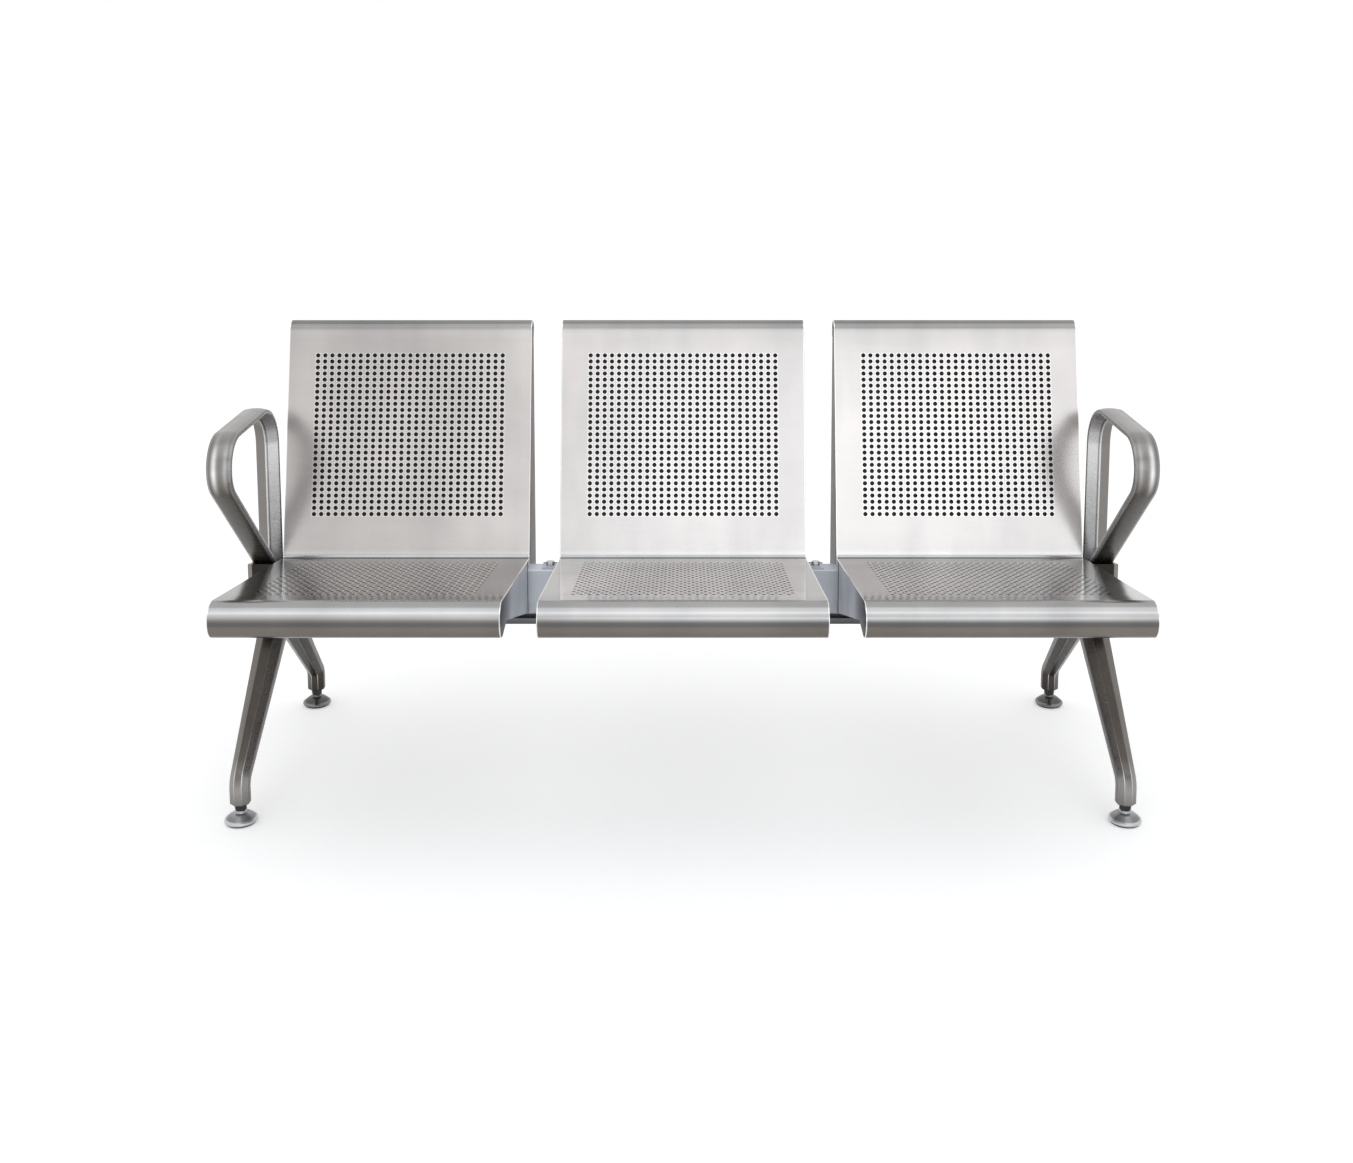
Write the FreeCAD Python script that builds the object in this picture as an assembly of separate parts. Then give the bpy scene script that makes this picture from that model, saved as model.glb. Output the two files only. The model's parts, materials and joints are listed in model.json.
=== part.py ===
import FreeCAD, Part
import math
import os
from FreeCAD import Vector

os.makedirs("parts", exist_ok=True)

# Three seats on one beam, carried by two end frames that stand on levelling feet.
# Millimetres and degrees. X runs along the bench, the front is towards -Y, Z is up from the floor.

# Seats
seat_names = ["left", "middle", "right"]
seat_width = 450.0
seat_gap = 55.0
sheet = 1.5
crease_y = 41.5
crease_z = 407.0
crease_radius = 6.0
pan_rake = 7.4
pan_length = 391.5
front_roll_radius = 29.0
front_return_rise = 8.0
front_return_length = 48.0
back_lean = 13.0
back_length = 420.0
top_roll_radius = 18.0
top_return_length = 12.0

# Side plates of a seat, and the channel between them
plate = 3.0
weld_gap = 0.2
plate_front_foot_z = 314.0
plate_rear_foot_y = 148.0
plate_rear_foot_z = 352.0
plate_rear_top_y = 160.0
channel_from_crease = 190.0
channel_width = 44.0
channel_depth = 22.0
channel_sheet = 2.5
channel_bend = 4.0

# Dark panel behind the holes of a back
back_panel = 1.2
back_panel_gap = 4.0
back_panel_from_crease = 60.0
back_panel_height = 332.0
back_panel_flange = 14.0
back_panel_bend = 4.2

# Beam
beam_front_y = 10.0
beam_depth = 40.0
beam_top_z = 394.0
beam_height = 102.0
beam_wall = 3.0
beam_corner = 3.0
groove_height = 8.0
groove_depth = 7.0
groove_above_bottom = 12.0
beam_gap = 0.3

# Foot flange of a side plate, its bolt and its rivet nut
flange_length = 30.0
flange_setback = 3.0
flange_thickness = 3.0
seat_bolt_radius = 4.0
seat_bolt_offset = 16.0
seat_bolt_flats = 13.0
seat_bolt_head = 5.5
seat_bolt_grip = 14.0
washer_radius = 8.0
washer = 1.6
rivet_nut_radius = 5.5
rivet_nut_length = 16.0
rivet_nut_bulge = 1.6
rivet_nut_bulge_height = 4.0
fit_gap = 0.05

# End frames
frame_to_seat = 7.0
hub_width = 46.0
end_plate = 6.0
end_plate_front_y = 4.0
end_plate_depth = 80.0
hub_split_z = 350.0
hub_front_y = 2.0
hub_front_low_z = 300.0
hub_centre_y = 110.0
hub_centre_z = 300.0
hub_reach = 55.0
hub_notch_z = 270.0
frame_screw_radius = 4.0
frame_screw_head_radius = 6.5
frame_screw_head = 8.0
frame_screw_sink = 9.0
frame_screw_socket_flats = 6.0
frame_screw_socket_depth = 4.0
frame_screw_rear_offset = 38.0
frame_screw_from_split = 21.0
clearance_gap = 0.3

# Armrest loop, given by its outer line
arm_width = 42.0
arm_edge = 9.0
arm_ridge = 20.0
arm_crown = 1.5
arm_foot_y = 7.5
arm_foot_z = 413.0
arm_diagonal = 40.4
arm_front_radius = 60.0
arm_top_z = 692.0
arm_top_y = 1.5
arm_top_slope = 3.3
arm_rear_radius = 80.0
arm_post_y = 78.5
arm_block_front_z = 407.0
arm_block_rear_y = 84.0
arm_block_rear_z = 394.0
arm_sink = 20.0

# Legs
front_foot_y = -158.5
rear_foot_y = 351.5
leg_bend_z = 74.0
leg_bend_radius = 30.0
leg_end_z = 34.0
leg_top_width = 52.0
leg_top_thickness = 40.0
leg_end_width = 33.0
leg_end_thickness = 30.0
leg_facet_share = 0.3
leg_facet_drop_share = 0.28
bend_steps = 6

# Levelling feet
stud_radius = 6.0
stud_top_z = 60.0
stud_tip_room = 6.0
stud_collar_radius = 8.0
stud_collar_top_z = 11.0
stud_gap = 0.06
foot_gap = 0.3
insert_radius = 10.0
insert_length = 26.0
lock_nut_flats = 18.0
lock_nut = 11.0
disc_radius = 28.0
disc_bottom_z = 3.0
disc_rim_z = 8.5
disc_rim_round = 1.5
disc_shoulder_radius = 10.5
disc_shoulder_z = 19.0
disc_neck_radius = 9.5
pad_radius = 25.0
pad_top_z = 5.5
pad_seat_gap = 0.1

# Places worked out from the sizes above
seat_pitch = seat_width + seat_gap
seat_half = seat_width / 2
seats_end = seat_pitch + seat_half
hub_inner_x = seats_end + frame_to_seat
hub_outer_x = hub_inner_x + hub_width
frame_x = (hub_inner_x + hub_outer_x) / 2
beam_end_x = hub_inner_x - end_plate
beam_rear_y = beam_front_y + beam_depth
beam_middle_y = (beam_front_y + beam_rear_y) / 2
beam_bottom_z = beam_top_z - beam_height
lock_nut_bottom_z = leg_end_z - lock_nut


def side_point(x, place):
    # A point of the side plane, given as (y, z), at the given x
    return Vector(x, place[0], place[1])


def direction(angle):
    return (math.cos(math.radians(angle)), math.sin(math.radians(angle)))


def along(place, angle, distance):
    step = direction(angle)
    return (place[0] + distance * step[0], place[1] + distance * step[1])


def meet(place, angle, other, other_angle):
    # Where two lines of the side plane cross
    a = direction(angle)
    b = direction(other_angle)
    gap_y = other[0] - place[0]
    gap_z = other[1] - place[1]
    reach = (gap_y * b[1] - gap_z * b[0]) / (a[0] * b[1] - a[1] * b[0])
    return along(place, angle, reach)


def heading_between(start, end):
    return math.degrees(math.atan2(end[1] - start[1], end[0] - start[0]))


def turn_between(first, second):
    # The turn from one heading to another, left positive, under half a circle
    return (second - first + 180.0) % 360.0 - 180.0


def stretches(start, heading, moves):
    # Follows a path in the side plane. A move is (0, length) or (radius, turn), left turns positive.
    # Each stretch is a list of (place, heading): two for a straight run, three for an arc.
    found = []
    place = start
    for radius, amount in moves:
        if radius == 0:
            end = along(place, heading, amount)
            found.append([(place, heading), (end, heading)])
            place = end
            continue
        side = math.copysign(90.0, amount)
        centre = along(place, heading + side, radius)
        halfway = heading + amount / 2
        last = heading + amount
        found.append([(place, heading),
                      (along(centre, halfway - side, radius), halfway),
                      (along(centre, last - side, radius), last)])
        place = found[-1][-1][0]
        heading = last
    return found


def path_edges(x, path, offset):
    # The path as edges at the given x, moved to its left by offset
    edges = []
    for stretch in path:
        points = [side_point(x, along(place, heading + 90.0, offset)) for place, heading in stretch]
        if len(points) == 2:
            edges.append(Part.LineSegment(points[0], points[1]).toShape())
        else:
            edges.append(Part.Arc(points[0], points[1], points[2]).toShape())
    return edges


def rounded_moves(corners, radii):
    # Start, heading and moves of a path through corners, each inner corner rounded
    heading = heading_between(corners[0], corners[1])
    first_heading = heading
    moves = []
    used = 0.0
    for before, corner, after, radius in zip(corners, corners[1:], corners[2:], radii):
        next_heading = heading_between(corner, after)
        turn = turn_between(heading, next_heading)
        tangent = radius * math.tan(math.radians(abs(turn)) / 2)
        moves.append((0, math.dist(before, corner) - used - tangent))
        moves.append((radius, turn))
        used = tangent
        heading = next_heading
    moves.append((0, math.dist(corners[-2], corners[-1]) - used))
    return corners[0], first_heading, moves


def face_of(edges):
    return Part.Face(Part.Wire(Part.__sortEdges__(edges)))


def strip_face(x, path, thickness):
    # The section of a bent sheet, from the path to its left side
    near = path_edges(x, path, 0.0)
    far = path_edges(x, path, thickness)
    ends = [Part.LineSegment(near[0].Vertexes[0].Point, far[0].Vertexes[0].Point).toShape(),
            Part.LineSegment(near[-1].Vertexes[-1].Point, far[-1].Vertexes[-1].Point).toShape()]
    return face_of(near + far + ends)


def polygon_face(x, places):
    points = [side_point(x, place) for place in places]
    return Part.Face(Part.makePolygon(points + [points[0]]))


def prism(face, length):
    return face.extrude(Vector(length, 0, 0))


def rod(centre, axis, radius, length):
    return Part.makeCylinder(radius, length, centre, axis)


def hexagon(centre, axis, flats, length):
    # A hexagonal prism around an axis along X or Z
    radius = flats / math.sqrt(3.0)
    points = []
    for corner in range(7):
        angle = math.radians(60.0 * corner)
        if axis.z:
            points.append(centre + Vector(radius * math.cos(angle), radius * math.sin(angle), 0))
        else:
            points.append(centre + Vector(0, radius * math.cos(angle), radius * math.sin(angle)))
    return Part.Face(Part.makePolygon(points)).extrude(axis * length)


def mirrored(shape):
    return shape.mirror(Vector(0, 0, 0), Vector(1, 0, 0))


def save(name, shape):
    solids = shape.Solids
    whole = solids[0] if len(solids) == 1 else Part.makeCompound(solids)
    whole.exportStep("parts/" + name + ".step")
    print(name, len(solids), "solid(s)", round(whole.Volume), "mm3", whole.isValid())


# Seat line: down the back, round the crease, along the pan and round the front roll.
# It is the face that is sat on, and the sheet lies to its left.
up_the_back = 90.0 - back_lean
along_the_pan = 180.0 - pan_rake
crease = (crease_y, crease_z)
crease_turn = turn_between(up_the_back + 180.0, along_the_pan)
crease_tangent = crease_radius * math.tan(math.radians(abs(crease_turn)) / 2)
front_roll_turn = 360.0 + front_return_rise - along_the_pan
back_run = (0, back_length - crease_tangent)
crease_bend = (crease_radius, crease_turn)
pan_run = (0, pan_length - crease_tangent)
front_roll = (front_roll_radius, front_roll_turn)
front_return = (0, front_return_length)
back_top = along(crease, up_the_back, back_length)


def seat_line():
    roll_end = along(back_top, up_the_back - 90.0, 2 * top_roll_radius)
    start = along(roll_end, up_the_back, -top_return_length)
    top_roll = (top_roll_radius, 180.0)
    moves = [(0, top_return_length), top_roll, back_run, crease_bend, pan_run, front_roll, front_return]
    return stretches(start, up_the_back, moves)


def make_seat_shell(centre_x):
    return prism(strip_face(centre_x - seat_half, seat_line(), sheet), seat_width)


# Side plate: follows the underside of the sheet, straddles the beam and stands on it with a flange
def side_plate_face(x):
    line = stretches(back_top, up_the_back + 180.0,
                     [back_run, crease_bend, pan_run, front_roll, front_return])
    upper = path_edges(x, line, sheet + weld_gap)
    top = upper[0].Vertexes[0].Point
    nose = upper[-1].Vertexes[-1].Point
    notch_z = beam_top_z + weld_gap
    lower = [nose,
             Vector(x, beam_front_y - beam_gap, plate_front_foot_z),
             Vector(x, beam_front_y - beam_gap, notch_z),
             Vector(x, beam_rear_y + beam_gap, notch_z),
             Vector(x, beam_rear_y + beam_gap, plate_rear_foot_z),
             Vector(x, plate_rear_foot_y, plate_rear_foot_z),
             Vector(x, plate_rear_top_y, top.z),
             top]
    return face_of(upper + Part.makePolygon(lower).Edges)


def flange_root(outer_x, inward, flange_way):
    # The face of the side plate that its flange stands out from. inward points from the plate's
    # outer face into the seat, and flange_way is the way the flange points, each as 1 or -1.
    return outer_x if flange_way != inward else outer_x + inward * plate


def bolt_x(outer_x, inward, flange_way):
    return flange_root(outer_x, inward, flange_way) + flange_way * seat_bolt_offset


def make_side_plate(outer_x, inward, flange_way):
    start_x = min(outer_x, outer_x + inward * plate)
    body = prism(side_plate_face(start_x), plate)
    tip_x = flange_root(outer_x, inward, flange_way) + flange_way * flange_length
    flange = Part.makeBox(flange_length + plate, beam_depth - 2 * flange_setback, flange_thickness,
                          Vector(min(tip_x, start_x), beam_front_y + flange_setback, beam_top_z + weld_gap))
    hole = rod(Vector(bolt_x(outer_x, inward, flange_way), beam_middle_y, beam_top_z), Vector(0, 0, 1),
               seat_bolt_radius + clearance_gap, 2 * flange_thickness)
    return body.fuse(flange).removeSplitter().cut(hole)


def make_seat_bolt(x):
    up = Vector(0, 0, 1)
    seat_z = beam_top_z + weld_gap + flange_thickness
    disc = rod(Vector(x, beam_middle_y, seat_z), up, washer_radius, washer)
    head = hexagon(Vector(x, beam_middle_y, seat_z + washer), up, seat_bolt_flats, seat_bolt_head)
    shank = rod(Vector(x, beam_middle_y, beam_top_z - seat_bolt_grip), up,
                seat_bolt_radius, seat_bolt_grip + seat_z - beam_top_z)
    return disc.fuse([head, shank]).removeSplitter()


def make_rivet_nut(x):
    up = Vector(0, 0, 1)
    centre = Vector(x, beam_middle_y, beam_top_z - rivet_nut_length)
    sleeve = rod(centre, up, rivet_nut_radius, rivet_nut_length)
    bulge_z = beam_top_z - beam_wall - rivet_nut_bulge_height
    bulge = rod(Vector(x, beam_middle_y, bulge_z), up, rivet_nut_radius + rivet_nut_bulge, rivet_nut_bulge_height)
    bore = rod(centre, up, seat_bolt_radius + fit_gap, rivet_nut_length)
    return sleeve.fuse(bulge).cut(bore)


# Channel across under the pan, legs down, between the side plates
def make_channel(centre_x):
    length = seat_width - 2 * (plate + weld_gap)
    under = along(crease, along_the_pan, channel_from_crease)
    near = along(under, along_the_pan + 90.0, sheet + weld_gap)
    far = along(near, along_the_pan, channel_width)
    down = along_the_pan + 90.0
    corners = [along(near, down, channel_depth), near, far, along(far, down, channel_depth)]
    line = stretches(*rounded_moves(corners, [channel_bend, channel_bend]))
    return prism(strip_face(centre_x - length / 2, line, channel_sheet), length)


# Panel close behind the back, flanges to the rear, between the side plates
def make_back_panel(centre_x):
    length = seat_width - 2 * (plate + weld_gap)
    rearward = up_the_back - 90.0
    bottom = along(crease, up_the_back, back_panel_from_crease)
    bottom = along(bottom, rearward, sheet + back_panel_gap)
    top = along(bottom, up_the_back, back_panel_height)
    corners = [along(top, rearward, back_panel_flange), top, bottom, along(bottom, rearward, back_panel_flange)]
    line = stretches(*rounded_moves(corners, [back_panel_bend, back_panel_bend]))
    return prism(strip_face(centre_x - length / 2, line, back_panel), length)


# Beam: hollow, with a groove low on each face
def make_beam(bolt_places):
    length = 2 * beam_end_x
    start = Vector(-beam_end_x, beam_front_y, beam_bottom_z)
    outside = Part.makeBox(length, beam_depth, beam_height, start)
    long_edges = [edge for edge in outside.Edges if abs(edge.Length - length) < 0.01]
    outside = outside.makeFillet(beam_corner, long_edges)
    groove_z = beam_bottom_z + groove_above_bottom
    grooves = [Part.makeBox(length, groove_depth, groove_height, Vector(-beam_end_x, y, groove_z))
               for y in (beam_front_y, beam_rear_y - groove_depth)]
    floor_z = groove_z + groove_height + beam_wall
    upper_cell = Part.makeBox(length, beam_depth - 2 * beam_wall, beam_top_z - beam_wall - floor_z,
                              Vector(-beam_end_x, beam_front_y + beam_wall, floor_z))
    cell_inset = groove_depth + beam_wall
    lower_cell = Part.makeBox(length, beam_depth - 2 * cell_inset, floor_z - beam_bottom_z - 2 * beam_wall,
                              Vector(-beam_end_x, beam_front_y + cell_inset, beam_bottom_z + beam_wall))
    holes = [rod(Vector(x, beam_middle_y, beam_top_z - 2 * beam_wall), Vector(0, 0, 1),
                 rivet_nut_radius + fit_gap, 3 * beam_wall) for x in bolt_places]
    return outside.cut(grooves + [upper_cell, lower_cell] + holes)


# End frame pieces are made for the +X end and mirrored for the other
screw_places = [(y, hub_split_z + way * frame_screw_from_split)
                for way in (1, -1) for y in (beam_middle_y, beam_middle_y + frame_screw_rear_offset)]


def screw_holes():
    # Clearance holes and head recesses through the armrest block and the hub
    out = Vector(1, 0, 0)
    holes = []
    for y, z in screw_places:
        holes.append(rod(Vector(hub_inner_x, y, z), out, frame_screw_radius + clearance_gap, hub_width))
        holes.append(rod(Vector(hub_outer_x - frame_screw_sink, y, z), out,
                         frame_screw_head_radius + clearance_gap, frame_screw_sink))
    return holes


def make_end_plate():
    # Threaded for the frame screws
    block = Part.makeBox(end_plate, end_plate_depth, beam_height,
                         Vector(beam_end_x, end_plate_front_y, beam_bottom_z))
    return block.cut([rod(Vector(beam_end_x, y, z), Vector(1, 0, 0), frame_screw_radius + fit_gap, end_plate)
                      for y, z in screw_places])


def make_frame_screw(place):
    out = Vector(1, 0, 0)
    seat_x = hub_outer_x - frame_screw_sink
    shank = rod(Vector(beam_end_x, place[0], place[1]), out, frame_screw_radius, seat_x - beam_end_x)
    head = rod(Vector(seat_x, place[0], place[1]), out, frame_screw_head_radius, frame_screw_head)
    socket = hexagon(Vector(seat_x + frame_screw_head - frame_screw_socket_depth, place[0], place[1]), out,
                     frame_screw_socket_flats, frame_screw_socket_depth)
    return shank.fuse(head).cut(socket)


# Leg lines run from the hub's centre to the bend above each foot, then straight down
hub_centre = (hub_centre_y, hub_centre_z)


def leg_corners(foot_y):
    bend = (foot_y, leg_bend_z)
    heading = heading_between(hub_centre, bend)
    return [along(hub_centre, heading, hub_reach), bend, (foot_y, leg_end_z)]


def leg_top_corners(foot_y):
    # The two edges of a leg's top end, upper one first
    start, bend, _ = leg_corners(foot_y)
    heading = heading_between(start, bend)
    upper_side = 90.0 if foot_y > hub_centre_y else -90.0
    return [along(start, heading + way * upper_side, leg_top_thickness / 2) for way in (1, -1)]


def leg_section(place, heading, share):
    # An eight-sided section square to the leg, tapering from the hub to the bend
    half_width = (leg_top_width + (leg_end_width - leg_top_width) * share) / 2
    half_depth = (leg_top_thickness + (leg_end_thickness - leg_top_thickness) * share) / 2
    flat = half_width * (1 - 2 * leg_facet_share)
    side = half_depth * (1 - 2 * leg_facet_drop_share)
    outline = [(flat, half_depth), (half_width, side), (half_width, -side), (flat, -half_depth),
               (-flat, -half_depth), (-half_width, -side), (-half_width, side), (-flat, half_depth)]
    points = [side_point(frame_x + across, along(place, heading + 90.0, depth)) for across, depth in outline]
    return Part.makePolygon(points + [points[0]])


def make_leg(foot_y):
    start, heading, moves = rounded_moves(leg_corners(foot_y), [leg_bend_radius])
    slope_run, bend_turn, straight_run = moves
    bend_parts = [(bend_turn[0], bend_turn[1] / bend_steps)] * bend_steps
    line = stretches(start, heading, [slope_run] + bend_parts + [straight_run])
    sections = [leg_section(start, heading, 0.0)]
    sections += [leg_section(*stretch[-1], 1.0) for stretch in line]
    body = Part.makeLoft(sections, True, True)
    up = Vector(0, 0, 1)
    socket = rod(Vector(frame_x, foot_y, leg_end_z), up, insert_radius, insert_length)
    tip_room = rod(Vector(frame_x, foot_y, leg_end_z), up, stud_radius + stud_gap,
                   stud_top_z + stud_tip_room - leg_end_z)
    return body.cut([socket, tip_room])


def make_hub():
    front_upper, front_lower = leg_top_corners(front_foot_y)
    rear_upper, rear_lower = leg_top_corners(rear_foot_y)
    places = [(hub_front_y, hub_split_z), split_rear(), rear_upper, rear_lower,
              (hub_centre_y, hub_notch_z), front_lower, front_upper, (hub_front_y, hub_front_low_z)]
    return prism(polygon_face(hub_inner_x, places), hub_width).cut(screw_holes())


def split_rear():
    # Rear end of the joint between hub and armrest block, on the line from the block to the rear leg
    top = (arm_block_rear_y, arm_block_rear_z)
    low = leg_top_corners(rear_foot_y)[0]
    return meet(top, heading_between(top, low), (hub_front_y, hub_split_z), 0.0)


# Armrest: a bar with a ridge on its inner side, bent round the path of its outer line
def arm_corners():
    foot = (arm_foot_y, arm_foot_z)
    diagonal_heading = 180.0 - arm_diagonal
    top = (arm_top_y, arm_top_z)
    front = meet(foot, diagonal_heading, top, arm_top_slope)
    post = (arm_post_y, arm_block_rear_z)
    rear = meet(top, arm_top_slope, post, 90.0)
    start = along(foot, diagonal_heading, -arm_sink)
    return [start, front, rear, (arm_post_y, arm_block_rear_z - arm_sink)]


def arm_section(place, heading):
    # Outer side crowned, inner side ridged, inner side to the right of the path
    inward = heading - 90.0
    half = arm_width / 2

    def at(across, depth):
        return side_point(frame_x + across, along(place, inward, depth))

    crown = Part.Arc(at(-half, arm_crown), at(0.0, 0.0), at(half, arm_crown)).toShape()
    rest = Part.makePolygon([at(half, arm_crown), at(half, arm_edge), at(0.0, arm_ridge),
                             at(-half, arm_edge), at(-half, arm_crown)])
    return face_of([crown] + rest.Edges)


def make_armrest():
    line = stretches(*rounded_moves(arm_corners(), [arm_front_radius, arm_rear_radius]))
    runs = []
    for stretch in line:
        place, heading = stretch[0]
        end, end_heading = stretch[-1]
        section = arm_section(place, heading)
        if len(stretch) == 2:
            runs.append(section.extrude(side_point(0, end) - side_point(0, place)))
            continue
        radius = arm_front_radius if stretch is line[1] else arm_rear_radius
        centre = along(place, heading - 90.0, radius)
        runs.append(section.revolve(side_point(0, centre), Vector(1, 0, 0), end_heading - heading))
    block = prism(polygon_face(hub_inner_x, [(hub_front_y, hub_split_z), (hub_front_y, arm_block_front_z),
                                             (arm_block_rear_y, arm_block_rear_z), split_rear()]), hub_width)
    return runs[0].fuse(runs[1:] + [block]).removeSplitter().cut(screw_holes())


# Levelling foot
def turned(profile, x, y):
    # A solid of revolution about a vertical axis, from (radius, z) places
    points = [Vector(x + radius, y, z) for radius, z in profile]
    face = Part.Face(Part.makePolygon(points + [points[0]]))
    return face.revolve(Vector(x, y, 0), Vector(0, 0, 1), 360)


def make_insert(x, y):
    sleeve = rod(Vector(x, y, leg_end_z), Vector(0, 0, 1), insert_radius, insert_length)
    return sleeve.cut(rod(Vector(x, y, leg_end_z), Vector(0, 0, 1), stud_radius + stud_gap, insert_length))


def make_lock_nut(x, y):
    start = Vector(x, y, lock_nut_bottom_z)
    body = hexagon(start, Vector(0, 0, 1), lock_nut_flats, lock_nut)
    corner = lock_nut_flats / math.sqrt(3.0)
    flat = lock_nut_flats / 2
    rise = (corner - flat) / 2
    low, high = lock_nut_bottom_z, leg_end_z
    envelope = turned([(0, low), (flat, low), (corner, low + rise), (corner, high - rise),
                       (flat, high), (0, high)], x, y)
    return body.common(envelope).cut(rod(start, Vector(0, 0, 1), stud_radius + stud_gap, lock_nut))


def make_stud(x, y):
    collar_z = pad_top_z + foot_gap
    return turned([(0, collar_z), (stud_collar_radius, collar_z), (stud_collar_radius, stud_collar_top_z),
                   (stud_radius, stud_collar_top_z), (stud_radius, stud_top_z), (0, stud_top_z)], x, y)


def make_disc(x, y):
    neck_top = lock_nut_bottom_z - foot_gap
    bore = stud_radius + stud_gap
    pocket = stud_collar_radius + foot_gap
    pocket_top = stud_collar_top_z + foot_gap
    recess = pad_radius + pad_seat_gap
    return turned([(recess, disc_bottom_z), (disc_radius - disc_rim_round, disc_bottom_z),
                   (disc_radius, disc_bottom_z + disc_rim_round), (disc_radius, disc_rim_z - disc_rim_round),
                   (disc_radius - disc_rim_round, disc_rim_z), (disc_shoulder_radius, disc_shoulder_z),
                   (disc_neck_radius, neck_top), (bore, neck_top), (bore, pocket_top), (pocket, pocket_top),
                   (pocket, pad_top_z), (recess, pad_top_z)], x, y)


def make_pad(x, y):
    return rod(Vector(x, y, 0), Vector(0, 0, 1), pad_radius, pad_top_z)


# Seats, in a loop along the beam. The end seats turn their flanges in, the middle one out.
all_bolts = []
for number, seat in enumerate(seat_names):
    centre_x = (number - 1) * seat_pitch
    save(seat + "_seat_shell", make_seat_shell(centre_x))
    save(seat + "_pan_channel", make_channel(centre_x))
    save(seat + "_back_panel", make_back_panel(centre_x))
    bolts = []
    for side, side_name in ((-1, "left"), (1, "right")):
        outer_x = centre_x + side * seat_half
        flange_way = side if seat == "middle" else -side
        save(seat + "_seat_" + side_name + "_plate", make_side_plate(outer_x, -side, flange_way))
        bolts.append(bolt_x(outer_x, -side, flange_way))
    save(seat + "_seat_bolts", Part.makeCompound([make_seat_bolt(x) for x in bolts]))
    save(seat + "_rivet_nuts", Part.makeCompound([make_rivet_nut(x) for x in bolts]))
    all_bolts += bolts

save("beam", make_beam(all_bolts))

# End frames
end_pieces = {
    "end_plate": make_end_plate(),
    "armrest": make_armrest(),
    "hub": make_hub(),
    "front_leg": make_leg(front_foot_y),
    "rear_leg": make_leg(rear_foot_y),
    "frame_screws": Part.makeCompound([make_frame_screw(place) for place in screw_places]),
}
for name, shape in end_pieces.items():
    save("right_" + name, shape)
    save("left_" + name, mirrored(shape))

# Levelling feet
for end, foot_y in (("front", front_foot_y), ("rear", rear_foot_y)):
    for hand, foot_x in (("left", -frame_x), ("right", frame_x)):
        foot = end + "_" + hand + "_"
        save(foot + "leg_insert", make_insert(foot_x, foot_y))
        save(foot + "lock_nut", make_lock_nut(foot_x, foot_y))
        save(foot + "stud", make_stud(foot_x, foot_y))
        save(foot + "disc", make_disc(foot_x, foot_y))
        save(foot + "pad", make_pad(foot_x, foot_y))
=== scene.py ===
import json
import math
import bpy
import bmesh
import numpy as np
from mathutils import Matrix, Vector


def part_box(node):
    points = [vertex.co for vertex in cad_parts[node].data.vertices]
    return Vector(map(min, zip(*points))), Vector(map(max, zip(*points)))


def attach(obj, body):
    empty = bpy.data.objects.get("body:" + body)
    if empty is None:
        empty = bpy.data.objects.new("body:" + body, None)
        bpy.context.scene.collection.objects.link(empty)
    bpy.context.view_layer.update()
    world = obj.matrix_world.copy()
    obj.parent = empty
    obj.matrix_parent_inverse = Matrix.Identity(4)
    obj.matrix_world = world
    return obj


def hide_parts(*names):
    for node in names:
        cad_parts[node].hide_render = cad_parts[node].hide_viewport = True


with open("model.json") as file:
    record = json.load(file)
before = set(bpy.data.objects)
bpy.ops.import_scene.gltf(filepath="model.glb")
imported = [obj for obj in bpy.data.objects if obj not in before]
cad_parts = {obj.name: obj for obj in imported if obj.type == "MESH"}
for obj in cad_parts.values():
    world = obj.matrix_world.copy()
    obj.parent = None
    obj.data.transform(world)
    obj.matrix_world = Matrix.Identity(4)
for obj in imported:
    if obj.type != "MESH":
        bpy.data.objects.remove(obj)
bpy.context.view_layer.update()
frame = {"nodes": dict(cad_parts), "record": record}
nodes = frame["nodes"]
scene = bpy.context.scene
bench = "bench"
seats = ["left", "middle", "right"]
hands = {"left": -1, "right": 1}
ends = ["front", "rear"]


def linked(name, data):
    # a new object in the scene
    thing = bpy.data.objects.new(name, data)
    scene.collection.objects.link(thing)
    return thing


# ---- camera: level with the photo's verticals, looking along +Y

cameraSet = {
    "y": -2.4728, "z": 1.1698,      # where it stands
    "pitch": 7.0,                   # degrees down
    "focal": 1417.6,                # in pixels of the photo's width
    "photoWidth": 1353.0,
    "sensor": 36.0, "shiftX": -0.0048, "shiftY": -0.20,
}
lens = bpy.data.cameras.new("camera")
lens.sensor_width = cameraSet["sensor"]
lens.lens = cameraSet["sensor"] * cameraSet["focal"] / cameraSet["photoWidth"]
lens.shift_x = cameraSet["shiftX"]
lens.shift_y = cameraSet["shiftY"]
camera = linked("camera", lens)
camera.location = (0.0, cameraSet["y"], cameraSet["z"])
camera.rotation_euler = (math.radians(90.0 - cameraSet["pitch"]), 0.0, 0.0)
scene.camera = camera
print("camera placed")

# ---- mesh making


def buildMesh(points, faceSets, smoothAngle):
    # points is (n, 3); faceSets holds index arrays, each (m, 3) or (m, 4)
    mesh = bpy.data.meshes.new("surface")
    mesh.from_pydata(points, [], [face for faces in faceSets for face in faces.tolist()])
    mesh.validate()
    mesh.shade_smooth()
    mesh.set_sharp_from_angle(angle=math.radians(smoothAngle))
    return mesh


def addPiece(name, mesh, material, body, replaced):
    # replaced lists the frame's nodes that the piece stands for
    mesh.name = name
    mesh.materials.clear()
    mesh.materials.append(material)
    piece = linked(name, mesh)
    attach(piece, body)
    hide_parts(*replaced)
    return piece


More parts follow.
